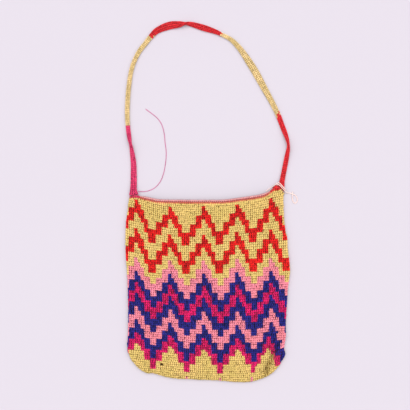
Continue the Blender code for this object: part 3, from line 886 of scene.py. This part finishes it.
def ranged(tree, source, low, high, to_low, to_high):
    """A socket's value carried from one range to another, and held at its ends."""
    inputs = {0: source, 1: low, 2: high, 3: to_low, 4: to_high}
    return add_node(tree, "ShaderNodeMapRange", inputs).outputs[0]


def maths(tree, operation, *values):
    """Output of a Math node, worked out from values or sockets."""
    return add_node(tree, "ShaderNodeMath", dict(enumerate(values)), operation=operation).outputs[0]


def noise(tree, lumps, detail=2.0):
    """Noise on Object coordinates, in lumps per metre."""
    where = add_node(tree, "ShaderNodeTexCoord", {}).outputs["Object"]
    inputs = {"Vector": where, "Scale": lumps, "Detail": detail}
    return add_node(tree, "ShaderNodeTexNoise", inputs).outputs["Fac"]


def attribute(tree, name, output="Fac"):
    """A value or colour stored on the piece's points."""
    return add_node(tree, "ShaderNodeAttribute", {}, attribute_name=name).outputs[output]


def new_finish(name):
    """A new material and its node tree."""
    material = bpy.data.materials.new(name)
    material.use_nodes = True
    return material, material.node_tree


def wool_shader(material, colour, height, strength=0.4, distance=0.25 * MM):
    """Dull wool: rough, with a faint sheen, its bump from a height socket."""
    tree = material.node_tree
    inputs = {"Strength": strength, "Distance": distance, "Height": height}
    bump = add_node(tree, "ShaderNodeBump", inputs)
    feed(tree, tree.nodes["Principled BSDF"], {
        "Base Color": colour,
        "Roughness": 0.88,
        "Specular IOR Level": 0.08,
        "Sheen Weight": 0.04,
        "Sheen Roughness": 0.55,
        "Normal": bump.outputs["Normal"],
    })
    return material


def twist(tree):
    """Twist of the plies, from 0 to 1: a sine wave of the turns along the yarn and round it."""
    around = maths(tree, "MULTIPLY", attribute(tree, "around"), 2 * math.pi)
    turns = maths(tree, "MULTIPLY_ADD", attribute(tree, "along"), TWISTS * 2 * math.pi, around)
    return ranged(tree, maths(tree, "SINE", turns), -1, 1, 0, 1)


def yarn_finish(yarn):
    """Twisted yarn: its colour drifts slowly over the cloth and from stitch to stitch, carries
    painted shade between the plies and towards both ends of each leg, at the roots of the stitches,
    and is flecked with fibres."""
    material, tree = new_finish(f"{yarn}_yarn")
    main, other, depth = YARNS[yarn]
    bright = tuple(min(1.0, FIBRE_GAIN * part + FIBRE_LIFT) for part in main)
    plies = twist(tree)
    colour = mixed(tree, ranged(tree, noise(tree, DRIFT_LUMPS), *DRIFT_MIX), main, other)
    colour = mixed(tree, ranged(tree, attribute(tree, "tone"), 0, 1, 0, depth), colour, BLACK)
    # painted shade: darker in the grooves between the plies, where the twist wave is low
    colour = mixed(tree, ranged(tree, plies, *PLY_SHADE_MIX), colour, BLACK)
    # painted shade: darker towards both thin ends of each leg, at the roots of the stitches, where
    # shade falls
    colour = mixed(tree, ranged(tree, attribute(tree, "full"), *ROOT_SHADE_MIX), colour, BLACK)
    fibres = ranged(tree, noise(tree, FIBRE_LUMPS, detail=3.0), *FIBRE_MIX)
    colour = mixed(tree, fibres, colour, bright)
    return wool_shader(material, colour, plies)


def cloth_finish():
    """The looped ground under the stitches: each place takes its band's yarn, much darker, as
    painted shade, since only the hollows between the stitches show it."""
    material, tree = new_finish("looped_ground")
    patches = ranged(tree, noise(tree, PATCH_LUMPS), *PATCH_MIX)
    colour = mixed(tree, patches, attribute(tree, "band", "Color"), PATCH_DARK)
    return wool_shader(material, colour, noise(tree, BUMP_LUMPS), strength=0.6, distance=0.4 * MM)


# ---------------- the pouch
SIDE_FOLD = 262 * MM         # length of fold that makes each side of the ground's grid
GROUND_HIGH = 300 * MM       # from its mouth to its base
GROUND_COLUMNS, GROUND_ROWS = 88, 96     # lines of the grid on each side
EDGE_OFFSETS = np.array([0.0, 0.7, 1.5, 2.5, 3.6, 5.5]) * MM   # the grid's lines beside an edge
GROUND_DEPTH = 1.5           # power that deepens a yarn's colour into painted shade for the ground under it
GROUND_SHADE = 0.08          # the share of it that is left there, as painted shade,
GROUND_GLOW = 0.25           # and how much more, as painted light through the yarn, where the yarn is pale


def graded(count, length, first, last):
    """Shares from 0 to 1: the edge's close offsets at the ends asked for, even steps between."""
    close = EDGE_OFFSETS / length
    start = close if first else close[:1]
    end = 1 - close[::-1] if last else np.array([1.0])
    middle = np.linspace(start[-1], end[0], count - len(start) - len(end) + 2)[1:-1]
    return np.concatenate([start, middle, end])


def ground_plan(front):
    """Plan points of one side of the pouch by row and column, as a Coons patch: the blend of its
    left and right folds, plus the blend of its mouth and base, less the blend of its corners."""
    curve = smooth_curve(FOLD)
    along = lengths_along(curve)
    a = graded(GROUND_COLUMNS, RIGHT_X - LEFT_X, first=True, last=True)[None, :, None]
    b = graded(GROUND_ROWS, GROUND_HIGH, first=False, last=True)[:, None, None]
    left = at_lengths(curve, along, b.ravel() * SIDE_FOLD)[:, None]
    right = at_lengths(curve, along, along[-1] - b.ravel() * SIDE_FOLD)[:, None]
    base = at_lengths(curve, along, SIDE_FOLD + a.ravel() * (along[-1] - 2 * SIDE_FOLD))[None]
    x = MOUTH[0, 0] + a.ravel() * (MOUTH[-1, 0] - MOUTH[0, 0])
    mouth = np.column_stack([x, mouth_height(x, front)])[None]
    sides = left * (1 - a) + right * a
    ends = mouth * (1 - b) + base * b
    upper = left[:1] * (1 - a) + right[:1] * a
    lower = left[-1:] * (1 - a) + right[-1:] * a
    return sides + ends - (upper * (1 - b) + lower * b)


def shaded_yarns(names):
    """The main colour of each named yarn, deepened by a power and darkened into painted shade, with
    full alpha. Pale yarns let more painted light through to it, in proportion to their green."""
    order = sorted(YARNS)
    colours = np.array([YARNS[name][0] for name in order])
    deep = colours ** GROUND_DEPTH * (GROUND_SHADE + GROUND_GLOW * colours[:, 1:2])
    return np.column_stack([deep, np.ones(len(order))])[np.searchsorted(order, names)]


def band_colours(points, front):
    """Colour of the ground at each plan point: its stitch's yarn, darkened into painted shade."""
    x, y = points.T
    return shaded_yarns(yarn_of(column_at(x, front), row_at(x, y), points, front))


def ground_faces(vertices):
    """Faces of the front grid and then the back, which share the points of the fold. The front has
    none where its stitch is lost."""
    count = GROUND_ROWS * GROUND_COLUMNS
    quads = grid_quads(GROUND_ROWS, GROUND_COLUMNS)
    numbers = np.arange(count).reshape(GROUND_ROWS, GROUND_COLUMNS)
    shared = np.arange(count) + count
    for edge in (numbers[:, 0], numbers[:, -1], numbers[-1]):
        shared[edge] = edge
    middles = vertices[quads].mean(axis=1)
    hole = np.linalg.norm(middles[:, :2] - LOST_STITCH, axis=1).argmin()
    return np.vstack([np.delete(quads[:, ::-1], hole, axis=0), shared[quads]])


def add_ground():
    """The looped ground of the pouch, front and back in one, with the cloth's thickness inside."""
    sides, colours = [], []
    for front in (True, False):
        plan = ground_plan(front).reshape(-1, 2)
        sides.append(skin(plan, front, SKIN_DEPTH, wrapped=False))
        colours.append(band_colours(plan, front))
    vertices, colours = np.vstack(sides), np.vstack(colours)
    used, faces = np.unique(ground_faces(vertices), return_inverse=True)
    ground = add_piece("looped_ground", vertices[used], faces, (), {"band": colours[used]},
                       cloth_finish())
    thickness = ground.modifiers.new("thickness", "SOLIDIFY")
    thickness.thickness = CLOTH_THICK
    thickness.offset = -1
    ride_all([ground])
    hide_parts("pouch")
    return ground


def leaned(column, row):
    """The column at which a stitch's middle lies, with its lean."""
    return column + 0.5 + lean(column + 0.5, row + 0.5)


def stitch_cells(front):
    """Column and row of every stitch of one side that lies on the cloth: inside the fold, below the
    mouth's edge and between its ends, and clear of the hole."""
    first = LEFT_COLUMN if front else RIGHT_COLUMN
    last = RIGHT_COLUMN if front else RIGHT_COLUMN + BACK_COLUMNS
    columns = np.arange(math.floor(first) - SPARE_COLUMNS, math.ceil(last) + SPARE_COLUMNS)
    row, column = every_pair(np.arange(FIRST_ROW + 1, LAST_ROW - 1), columns)
    flat = place(leaned(column, row), row + 0.5, front)
    unheld = row_height(column_x(column + 0.5, front), row + 0.5)
    keep = beside_fold(flat)[0] > -FOLD_SLACK - (FOLD_LAP if front else 0.0)
    keep &= unheld < mouth_height(flat[:, 0], front) + RIM_ROWS
    in_mouth = (flat[:, 0] > MOUTH[0, 0] - MOUTH_LAP) & (flat[:, 0] < MOUTH[-1, 0] + MOUTH_LAP)
    keep &= in_mouth | (flat[:, 1] < MOUTH[0, 1])
    if front:
        keep &= np.linalg.norm(flat - LOST_STITCH, axis=1) > HOLE_RADIUS
    return column[keep], row[keep]


def sit(column, row, front):
    """Origin, right and up vectors of stitches on the skin: right and up are the differences of its
    points half a stitch either way."""
    def at(columns, rows, held=True):
        return skin(place(columns, rows, front, held), front, SKIN_DEPTH)
    centre = leaned(column, row)
    right = at(centre + 0.5, row + 0.5) - at(centre - 0.5, row + 0.5)
    up = at(centre, row, held=False) - at(centre, row + 1.0, held=False)
    length = np.maximum(np.linalg.norm(up, axis=1), SHORTEST)
    return at(centre, row + 0.5), right, unit(up) * length[:, None]


def add_pouch_stitches(front, finishes):
    """The stitches of one side, a piece for each yarn. They stray a little, some are loose, and the
    yarns differ in how full and how proud they lie."""
    column, row = stitch_cells(front)
    middle, right, up = sit(column, row, front)
    middle = middle + CHANCE.normal(0, STRAY, middle.shape) * (1, 1, STRAY_OUT)
    yarn = yarn_of(column + 0.5, row + 0.5, middle[:, :2], front)
    middle[:, 2] += (1 if front else -1) * PROUD * np.isin(yarn, PROUD_YARNS)
    loose = CHANCE.random(len(column)) < LOOSE_SHARE
    spread = CHANCE.normal(1.0, SCATTER, len(column)) + LOOSE_WIDER * loose
    fullness = CHANCE.normal(1.0, SCATTER, len(column)) - LOOSE_THINNER * loose
    fullness += FULLER * np.isin(yarn, FULLER_YARNS)
    side = "front" if front else "back"
    pieces = add_by_yarn(side, yarn, middle, right, up, finishes, spread, fullness, STITCH)
    return ride_all(pieces)


# ---------------- the edging
EDGING_HIGH = 3.2 * MM       # outwards from the mouth
EDGING_THICK = 2.6 * MM      # from its front to its back
EDGING_GAP = 0.3 * MM        # between it and the pouch's rim
EDGING_ENDS = 3.6 * MM       # it turns from front to back this far from the fold
RIM_STEPS = 120              # stations along each side's rim
CORE_THICK = 1.6 * MM        # the edging's core, under its stitches
CORE_HIGH = 0.9 * EDGING_HIGH
CORE_LIFT = 0.6 * MM         # how far it is drawn out of the mouth between the strap's feet
CORE_STEPS, CORE_SIDES = 240, 10     # its rings, and the corners of each
LEFT_TIP_X, RIGHT_TIP_X = -117 * MM, 107 * MM    # where the edging changes yarn beside the feet
RIGHT_END = np.array([120.0, 22.0]) * MM         # right of this and below it the edging is yellow
FOOT_CLEAR = 14 * MM         # length over which the loops come up to their full height
# The edging's rows of stitches, in millimetres from its middle, with what is added between the feet
EDGING_ROWS = (
    # name, usual yarn, outwards and added, proud, share of its width, height and added, fullness
    ("edging_upright", "edge_red", -0.6, 0.0, 0.75, 1.0, 2.1, 0.0, 0.85),
    # the loops take the lighter coral: painted highlight on the edging's outer top
    ("edging_loop", "edge_coral", 0.8, 1.0, 0.40, 1.0, 1.7, 2.0, 0.85),
    ("edging_tooth", "edge_peach", -2.0, 0.0, 0.95, 0.75, 2.6, 0.0, 0.62),
)


def rim_line(front):
    """The middle of the cloth's rim on one side, left to right, and the way out of it in plan."""
    edge = MOUTH_LINE.copy()
    edge[:, 1] = mouth_height(edge[:, 0], front)
    along = lengths_along(edge)
    stations = np.linspace(EDGING_ENDS, along[-1] - EDGING_ENDS, RIM_STEPS)
    plan = at_lengths(edge, along, stations)
    rim = skin(plan, front, 0.0, wrapped=False)
    rim[:, 2] += -0.5 * WALL if front else 0.5 * WALL
    ahead = unit(np.gradient(plan, axis=0))
    return rim, np.column_stack([-ahead[:, 1], ahead[:, 0], 0 * ahead[:, 0]])


def edging_turn(front_end, back_end, front_out, back_out):
    """Where the edging turns from front to back, a little beyond the ends of both."""
    out = 0.5 * (front_out + back_out)
    beyond = np.array([out[1], -out[0], 0.0]) * math.copysign(0.5 * EDGING_THICK, front_end[0])
    return 0.5 * (front_end + back_end) + beyond, out


def edging_path(count):
    """Stations at even steps round the mouth, with the ways ahead, outwards and through the cloth.

    It follows the front's rim to the right, turns, and follows the back's rim to the left.
    """
    front, front_out = rim_line(True)
    back, back_out = rim_line(False)
    right, right_out = edging_turn(front[-1], back[-1], front_out[-1], back_out[-1])
    left, left_out = edging_turn(front[0], back[0], front_out[0], back_out[0])
    outwards = np.vstack([front_out, right_out, back_out[::-1], left_out])
    path = np.vstack([front, right, back[::-1], left]) + outwards * (EDGING_GAP + 0.5 * EDGING_HIGH)
    ring = np.column_stack([path, outwards])
    ring = np.vstack([ring, ring[:1]])
    along = lengths_along(ring, 3)
    ring = at_lengths(ring, along, np.linspace(0, along[-1], count, endpoint=False))
    path, outwards = ring[:, :3], unit(ring[:, 3:])
    path[:, 2] = np.maximum(path[:, 2], 0.5 * EDGING_THICK)
    ahead = unit(np.roll(path, -1, axis=0) - np.roll(path, 1, axis=0))
    through = unit(np.cross(ahead, outwards))
    return path, ahead, outwards, through


def edging_yarns(path, usual):
    """The yarn of the edging at each station: the usual one, but rose at the left foot, red at the
    right tip, and beyond the tie string the pouch's yellow."""
    past_string = (path[:, 0] > RIGHT_END[0]) & (path[:, 1] < RIGHT_END[1])
    return np.select([path[:, 0] < LEFT_TIP_X, past_string, path[:, 0] > RIGHT_TIP_X],
                     ["edge_rose", "yellow", "edge_scarlet"], usual)


def between_feet(path):
    """Share from 0 at the strap's feet to 1 along the open mouth, by smooth steps in x."""
    from_left, from_right = path[:, 0] - LEFT_TIP_X, RIGHT_TIP_X - path[:, 0]
    return ease(from_left / FOOT_CLEAR) * ease(from_right / FOOT_CLEAR)


def add_edging_core(finishes):
    """The edging's flattened core: an ellipse carried round the mouth, drawn out between the feet.
    With it comes the number of stitches that fit round it."""
    path, _, outwards, through = edging_path(CORE_STEPS)
    angles = round_angles(CORE_SIDES)
    lift = CORE_LIFT * between_feet(path)[:, None, None]
    rings = (path[:, None] + (lift + 0.5 * CORE_HIGH * np.cos(angles)) * outwards[:, None]
             + 0.5 * CORE_THICK * np.sin(angles) * through[:, None]).reshape(-1, 3)
    quads = grid_quads(CORE_STEPS + 1, CORE_SIDES, closed=True) % len(rings)
    # painted shade: the core takes its yarn's darkest tone all over, since it shows only between
    # the edging's stitches
    core = add_piece("edging_core", rings, quads, (), {"tone": np.ones(len(rings))},
                     finishes["edge_red"])
    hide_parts("mouth_edging")
    return core, round(lengths_along(path, 3)[-1] / STITCH_WIDE)


def add_edging(finishes):
    """The edging: its core, and three rows of stitches on its front and back: uprights, loops that
    stand up from its outer side in a lighter coral as a painted highlight, and teeth that reach
    down over the pouch's first row."""
    core, count = add_edging_core(finishes)
    pieces = [core]
    path, ahead, outwards, through = edging_path(count)
    free = between_feet(path)[:, None]
    even = np.ones(count)
    for name, yarn, out, out_more, proud, wide, high, high_more, fullness in EDGING_ROWS:
        origin = path + (outwards * (out + out_more * free) + through * proud) * MM
        up = outwards * (high + high_more * free) * MM
        pieces += add_by_yarn(name, edging_yarns(path, yarn), origin, ahead * wide * STITCH_WIDE,
                              up, finishes, even, even * fullness, EDGE_STITCH)
    return ride_all(pieces)


# ---------------- the strap
# The yarns along the strap from its left foot, and where each gives way to the next
STRAP_YARNS = (
    ("strap_rose", (-135.8, 129.5)),
    ("strap_olive", (-97.6, 279.1)),
    ("strap_red", (23.8, 283.4)),
    ("strap_olive", (119.3, 147.2)),
    ("strap_red", (124.5, 22.3)),
)
STRAP_STEPS = 480            # stations at which its sections are worked out
LOWEST_STEPS = 60            # angles round a section among which its lowest point is looked for
ROUND_STEPS = 181            # and those by which its columns are spaced
STRAP_ROW = 3.2 * MM         # from one row of its stitches to the next
STRAP_COLUMNS = 8            # stitches in a row, round it
STRAP_MIX = 5.0 * MM         # length over which one yarn gives way to the next
STRAP_GRID = (360, 18)       # rings along the band under the stitches, and corners round it
THINNEST = 0.6               # fullness of its stitches where it is narrowest
TYPICAL = (10.0, 4.2)        # width and thickness by which the columns are spaced round it


def box_round(angle):
    """Shares of half width and half thickness at an angle: powers of its cosine and sine."""
    c, s = np.cos(angle), np.sin(angle)
    return np.sign(c) * np.abs(c) ** STRAP_SQUARENESS, np.sign(s) * np.abs(s) ** STRAP_SQUARENESS


def strap_sections():
    """Sections at even stations: middle, height, way across, half width and thickness, and turn.

    The band rests on the table, so its middle stands above it by the lowest point of the turned
    section, and each foot rises by a smooth step to the middle of the pouch's shoulder.
    """
    dense = smooth_curve(STRAP * np.array([MM, MM, MM, MM, math.pi / 180]))
    along = lengths_along(dense)
    stations = np.linspace(0, along[-1], STRAP_STEPS)
    table = at_lengths(dense, along, stations)
    ahead = unit(np.gradient(table[:, :2], axis=0))
    aside = np.column_stack([ahead[:, 1], -ahead[:, 0]])
    for shoulder, to_end in zip(SHOULDERS, (stations, stations[-1] - stations)):
        turned = np.clip(1 - to_end / CUT_RUN, 0, 1)[:, None]
        aside = unit(aside * (1 - turned) + np.array(shoulder) * turned)
    wide, high = box_round(np.linspace(0, 2 * math.pi, LOWEST_STEPS)[None])
    half_wide, half_thick, turn = 0.5 * table[:, 2:3], 0.5 * table[:, 3:4], table[:, 4:5]
    upward = half_wide * wide * np.sin(turn) + half_thick * high * np.cos(turn)
    resting = -upward.min(axis=1)
    lift = ease(1 - np.minimum(stations, stations[-1] - stations) / FOOT_RUN)
    height = resting + (FOOT_HEIGHT - resting) * lift
    return stations, np.column_stack([table[:, :2], height, aside, half_wide, half_thick, turn])


STRAP_AT, STRAP_SECTIONS = strap_sections()
ROUND_ANGLES = np.linspace(0, 2 * math.pi, ROUND_STEPS)
ROUND_SHARES = lengths_along(np.column_stack(box_round(ROUND_ANGLES)) * TYPICAL)
ROUND_SHARES /= ROUND_SHARES[-1]


def strap_points(along, share):
    """Points of the cloth under the strap's stitches, at distances along it and shares round it."""
    sections = at_lengths(STRAP_SECTIONS, STRAP_AT, along)
    x, y, height, aside_x, aside_y, wide, thick, turn = sections.T
    round_x, round_z = box_round(np.interp(share % 1, ROUND_SHARES, ROUND_ANGLES))
    u, v = (wide - SKIN_DEPTH) * round_x, (thick - SKIN_DEPTH) * round_z
    across = u * np.cos(turn) - v * np.sin(turn)
    upward = u * np.sin(turn) + v * np.cos(turn)
    return np.column_stack([x + aside_x * across, y + aside_y * across, height + upward])


def strap_yarn_at(along):
    """The yarn at distances along the strap; near a change the two yarns are mixed by chance."""
    ends = np.array([place for _, place in STRAP_YARNS]) * MM
    changes = STRAP_AT[nearest(ends, STRAP_SECTIONS[:, :2])[0]][:-1]
    blurred = along + CHANCE.uniform(-STRAP_MIX, STRAP_MIX, len(along))
    return np.array([name for name, _ in STRAP_YARNS])[np.searchsorted(changes, blurred)]


def add_strap_band():
    """The closed band under the strap's stitches: rings of corners, and one point at each end. Its
    colour is its yarns' painted shade, as in the pouch's ground.
    """
    rows, sides = STRAP_GRID
    along, share = every_pair(np.linspace(0, STRAP_AT[-1], rows), np.arange(sides) / sides)
    rings = strap_points(along, share)
    vertices = np.vstack([rings, rings[:sides].mean(axis=0), rings[-sides:].mean(axis=0)])
    count = len(rings)
    fans = tip_fans(sides, count, 0, count + 1, count - sides)
    quads, fans = facing_out(vertices, grid_quads(rows, sides, closed=True), fans)
    names = strap_yarn_at(np.concatenate([along, [0, STRAP_AT[-1]]]))
    band = add_piece("strap_band", vertices, quads, fans, {"band": shaded_yarns(names)},
                     cloth_finish())
    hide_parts("strap")
    return band


def add_strap(finishes):
    """The strap: a closed band under rows of stitches that run round it, a piece for each yarn."""
    band = add_strap_band()
    count = round(STRAP_AT[-1] / STRAP_ROW)
    row, column = every_pair(np.arange(count), np.arange(STRAP_COLUMNS))
    step, half = STRAP_AT[-1] / count, 0.5 / STRAP_COLUMNS
    along, share = (row + 0.5) * step, (column + 0.5) / STRAP_COLUMNS
    right = strap_points(along, share - half) - strap_points(along, share + half)
    up = strap_points(along + 0.5 * step, share) - strap_points(along - 0.5 * step, share)
    fullness = np.clip(np.linalg.norm(right, axis=1) / STITCH_WIDE, THINNEST, 1.0)
    fullness *= CHANCE.normal(1.0, SCATTER, len(along))
    pieces = add_by_yarn("strap", strap_yarn_at(along), strap_points(along, share), right, up,
                         finishes, np.ones(len(along)), fullness, STITCH)
    return ride_all([band] + pieces)


# ---------------- free cords
TWINE_SIDES = 6              # corners round a ply
TWINE_STEP = 0.45 * MM       # from one ring of corners to the next
PLY_OUT = 0.24               # how far a ply's middle is from the cord's, in the cord's diameters,
PLY_RADIUS = 0.29            # and the ply's radius
TWINE_TAPER = 0.6            # diameters over which an end draws in, as the root of the distance
TIP_SHARE = 0.02             # the share of that taper at which the tip itself is cut off


def steady_frames(line):
    """Two directions square to a line at each of its points, carried along without twisting: each
    pair is the last one, less its part along the new way ahead."""
    ahead = unit(np.gradient(line, axis=0))
    first = np.cross(ahead[0], (0.0, 0.0, 1.0))
    side = [unit(first)]
    for way in ahead[1:]:
        carried = side[-1] - way * (side[-1] @ way)
        side.append(unit(carried))
    side = np.array(side)
    return side, np.cross(ahead, side)


def twine_faces(rings):
    """Faces of a ply: its sides, and a fan of triangles over each end."""
    count = rings * TWINE_SIDES
    k = np.arange(1, TWINE_SIDES - 1)
    caps = np.vstack([np.column_stack([0 * k, k + 1, k]),
                      count - TWINE_SIDES + np.column_stack([0 * k, k, k + 1])])
    return grid_quads(rings, TWINE_SIDES, closed=True), caps


def add_twine(name, route, diameter, finish, lay_length):
    """A two-ply cord on a smooth curve through its route.

    Each ply is a tube whose middle winds round the route at about a quarter of the diameter, the
    second ply half a turn behind the first. The ends draw in to points.
    """
    dense = smooth_curve(route)
    along = lengths_along(dense, 3)
    stations = np.linspace(0, along[-1], round(along[-1] / TWINE_STEP))
    line = at_lengths(dense, along, stations)
    side, over = steady_frames(line)
    from_end = np.minimum(stations, stations[-1] - stations) / (TWINE_TAPER * diameter)
    body = PLY_RADIUS * diameter * np.sqrt(np.clip(from_end, TIP_SHARE, 1))[:, None, None]
    angles = round_angles(TWINE_SIDES)
    ring = body * (side[:, None] * np.cos(angles) + over[:, None] * np.sin(angles))
    tubes = []
    for ply in (0, math.pi):
        wind = (stations / lay_length * 2 * math.pi + ply)[:, None]
        middle = line + PLY_OUT * diameter * (side * np.cos(wind) + over * np.sin(wind))
        tubes.append((middle[:, None] + ring).reshape(-1, 3))
    quads, caps = facing_out(tubes[0], *twine_faces(len(stations)))
    count = len(tubes[0])
    attributes = {
        "tone": np.zeros(2 * count),
        "along": np.tile(np.repeat(stations / lay_length, TWINE_SIDES), 2),
        "around": np.tile(np.arange(TWINE_SIDES) / TWINE_SIDES, 2 * len(stations)),
        "full": np.ones(2 * count),
    }
    cord = add_piece(name, np.vstack(tubes), np.vstack([quads, quads + count]),
                     np.vstack([caps, caps + count]), attributes, finish)
    ride_all([cord])
    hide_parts(name)


# ---------------- light, floor, camera
VIEW_CENTRE = (-4.8 * MM, -5.8 * MM)
VIEW_WIDTH = 697 * MM
FARTHEST = 20.0              # metres to which the camera sees
LENS, SENSOR = 85.0, 36.0
FLOOR_HALF = 3.0             # metres from its middle to its edges
FLOOR_COLOURS = ((0.522, 0.492, 0.530), (0.516, 0.484, 0.522))
FLOOR_LUMPS = 2.2            # per metre, in its tone
FLOOR_MIX = (0.3, 0.7, 0.0, 0.3)
SURROUND = {"Color": (0.93, 0.90, 0.96), "Strength": 0.70}
SUNS = (
    # name, strength, spread, tilt from straight down and heading in degrees, colour
    ("key_light", 2.15, 60, 18, 180, (1.0, 0.98, 0.98)),
    ("left_light", 0.72, 50, 42, -90, (0.97, 0.97, 1.0)),
    ("right_light", 0.72, 50, 42, 90, (0.97, 0.97, 1.0)),
)


def add_camera():
    """Camera straight above the middle of the view, far enough for its width."""
    data = bpy.data.cameras.new("camera")
    data.lens = LENS
    data.sensor_width = SENSOR
    data.clip_end = FARTHEST
    camera = add_object("camera", data)
    camera.location = (*VIEW_CENTRE, VIEW_WIDTH * LENS / SENSOR)
    bpy.context.scene.camera = camera


def add_sun(name, strength, spread, tilt, heading, colour):
    """A broad soft sun, tilted from straight down towards a heading."""
    data = bpy.data.lights.new(name, "SUN")
    data.energy = strength
    data.angle = math.radians(spread)
    data.color = colour
    add_object(name, data).rotation_euler = (math.radians(tilt), 0, math.radians(heading))


def add_light():
    """A pale surround, a broad sun from beyond the strap, and a softer one from each side."""
    world = bpy.data.worlds.new("surround")
    world.use_nodes = True
    feed(world.node_tree, world.node_tree.nodes["Background"], SURROUND)
    bpy.context.scene.world = world
    for sun in SUNS:
        add_sun(*sun)
    bpy.context.scene.view_settings.view_transform = "Standard"


def add_floor():
    """A pale lavender board under the bag, its tone a little uneven."""
    material, tree = new_finish("board")
    tone = ranged(tree, noise(tree, FLOOR_LUMPS), *FLOOR_MIX)
    feed(tree, tree.nodes["Principled BSDF"], {
        "Base Color": mixed(tree, tone, *FLOOR_COLOURS),
        "Roughness": 0.95,
        "Specular IOR Level": 0.1,
    })
    corners = FLOOR_HALF * np.array([(-1, -1, 0), (1, -1, 0), (1, 1, 0), (-1, 1, 0)])
    add_piece("floor", corners, [(0, 1, 2, 3)], (), {}, material)


def main():
    """Camera, light and floor, then the cords, the pouch with its edging, and the strap."""
    add_camera()
    add_light()
    add_floor()
    finishes = {name: yarn_finish(name) for name in YARNS}
    add_twine("loose_thread", THREAD_ROUTE, THREAD_DIAMETER, finishes["hot_pink"],
              THREAD_LAY)
    add_twine("tie_string", STRING_ROUTE, STRING_DIAMETER, finishes["white"],
              STRING_LAY)
    ground = add_ground()
    stitches = add_pouch_stitches(True, finishes) + add_pouch_stitches(False, finishes)
    stitches += add_edging(finishes)
    strap = add_strap(finishes)


main()
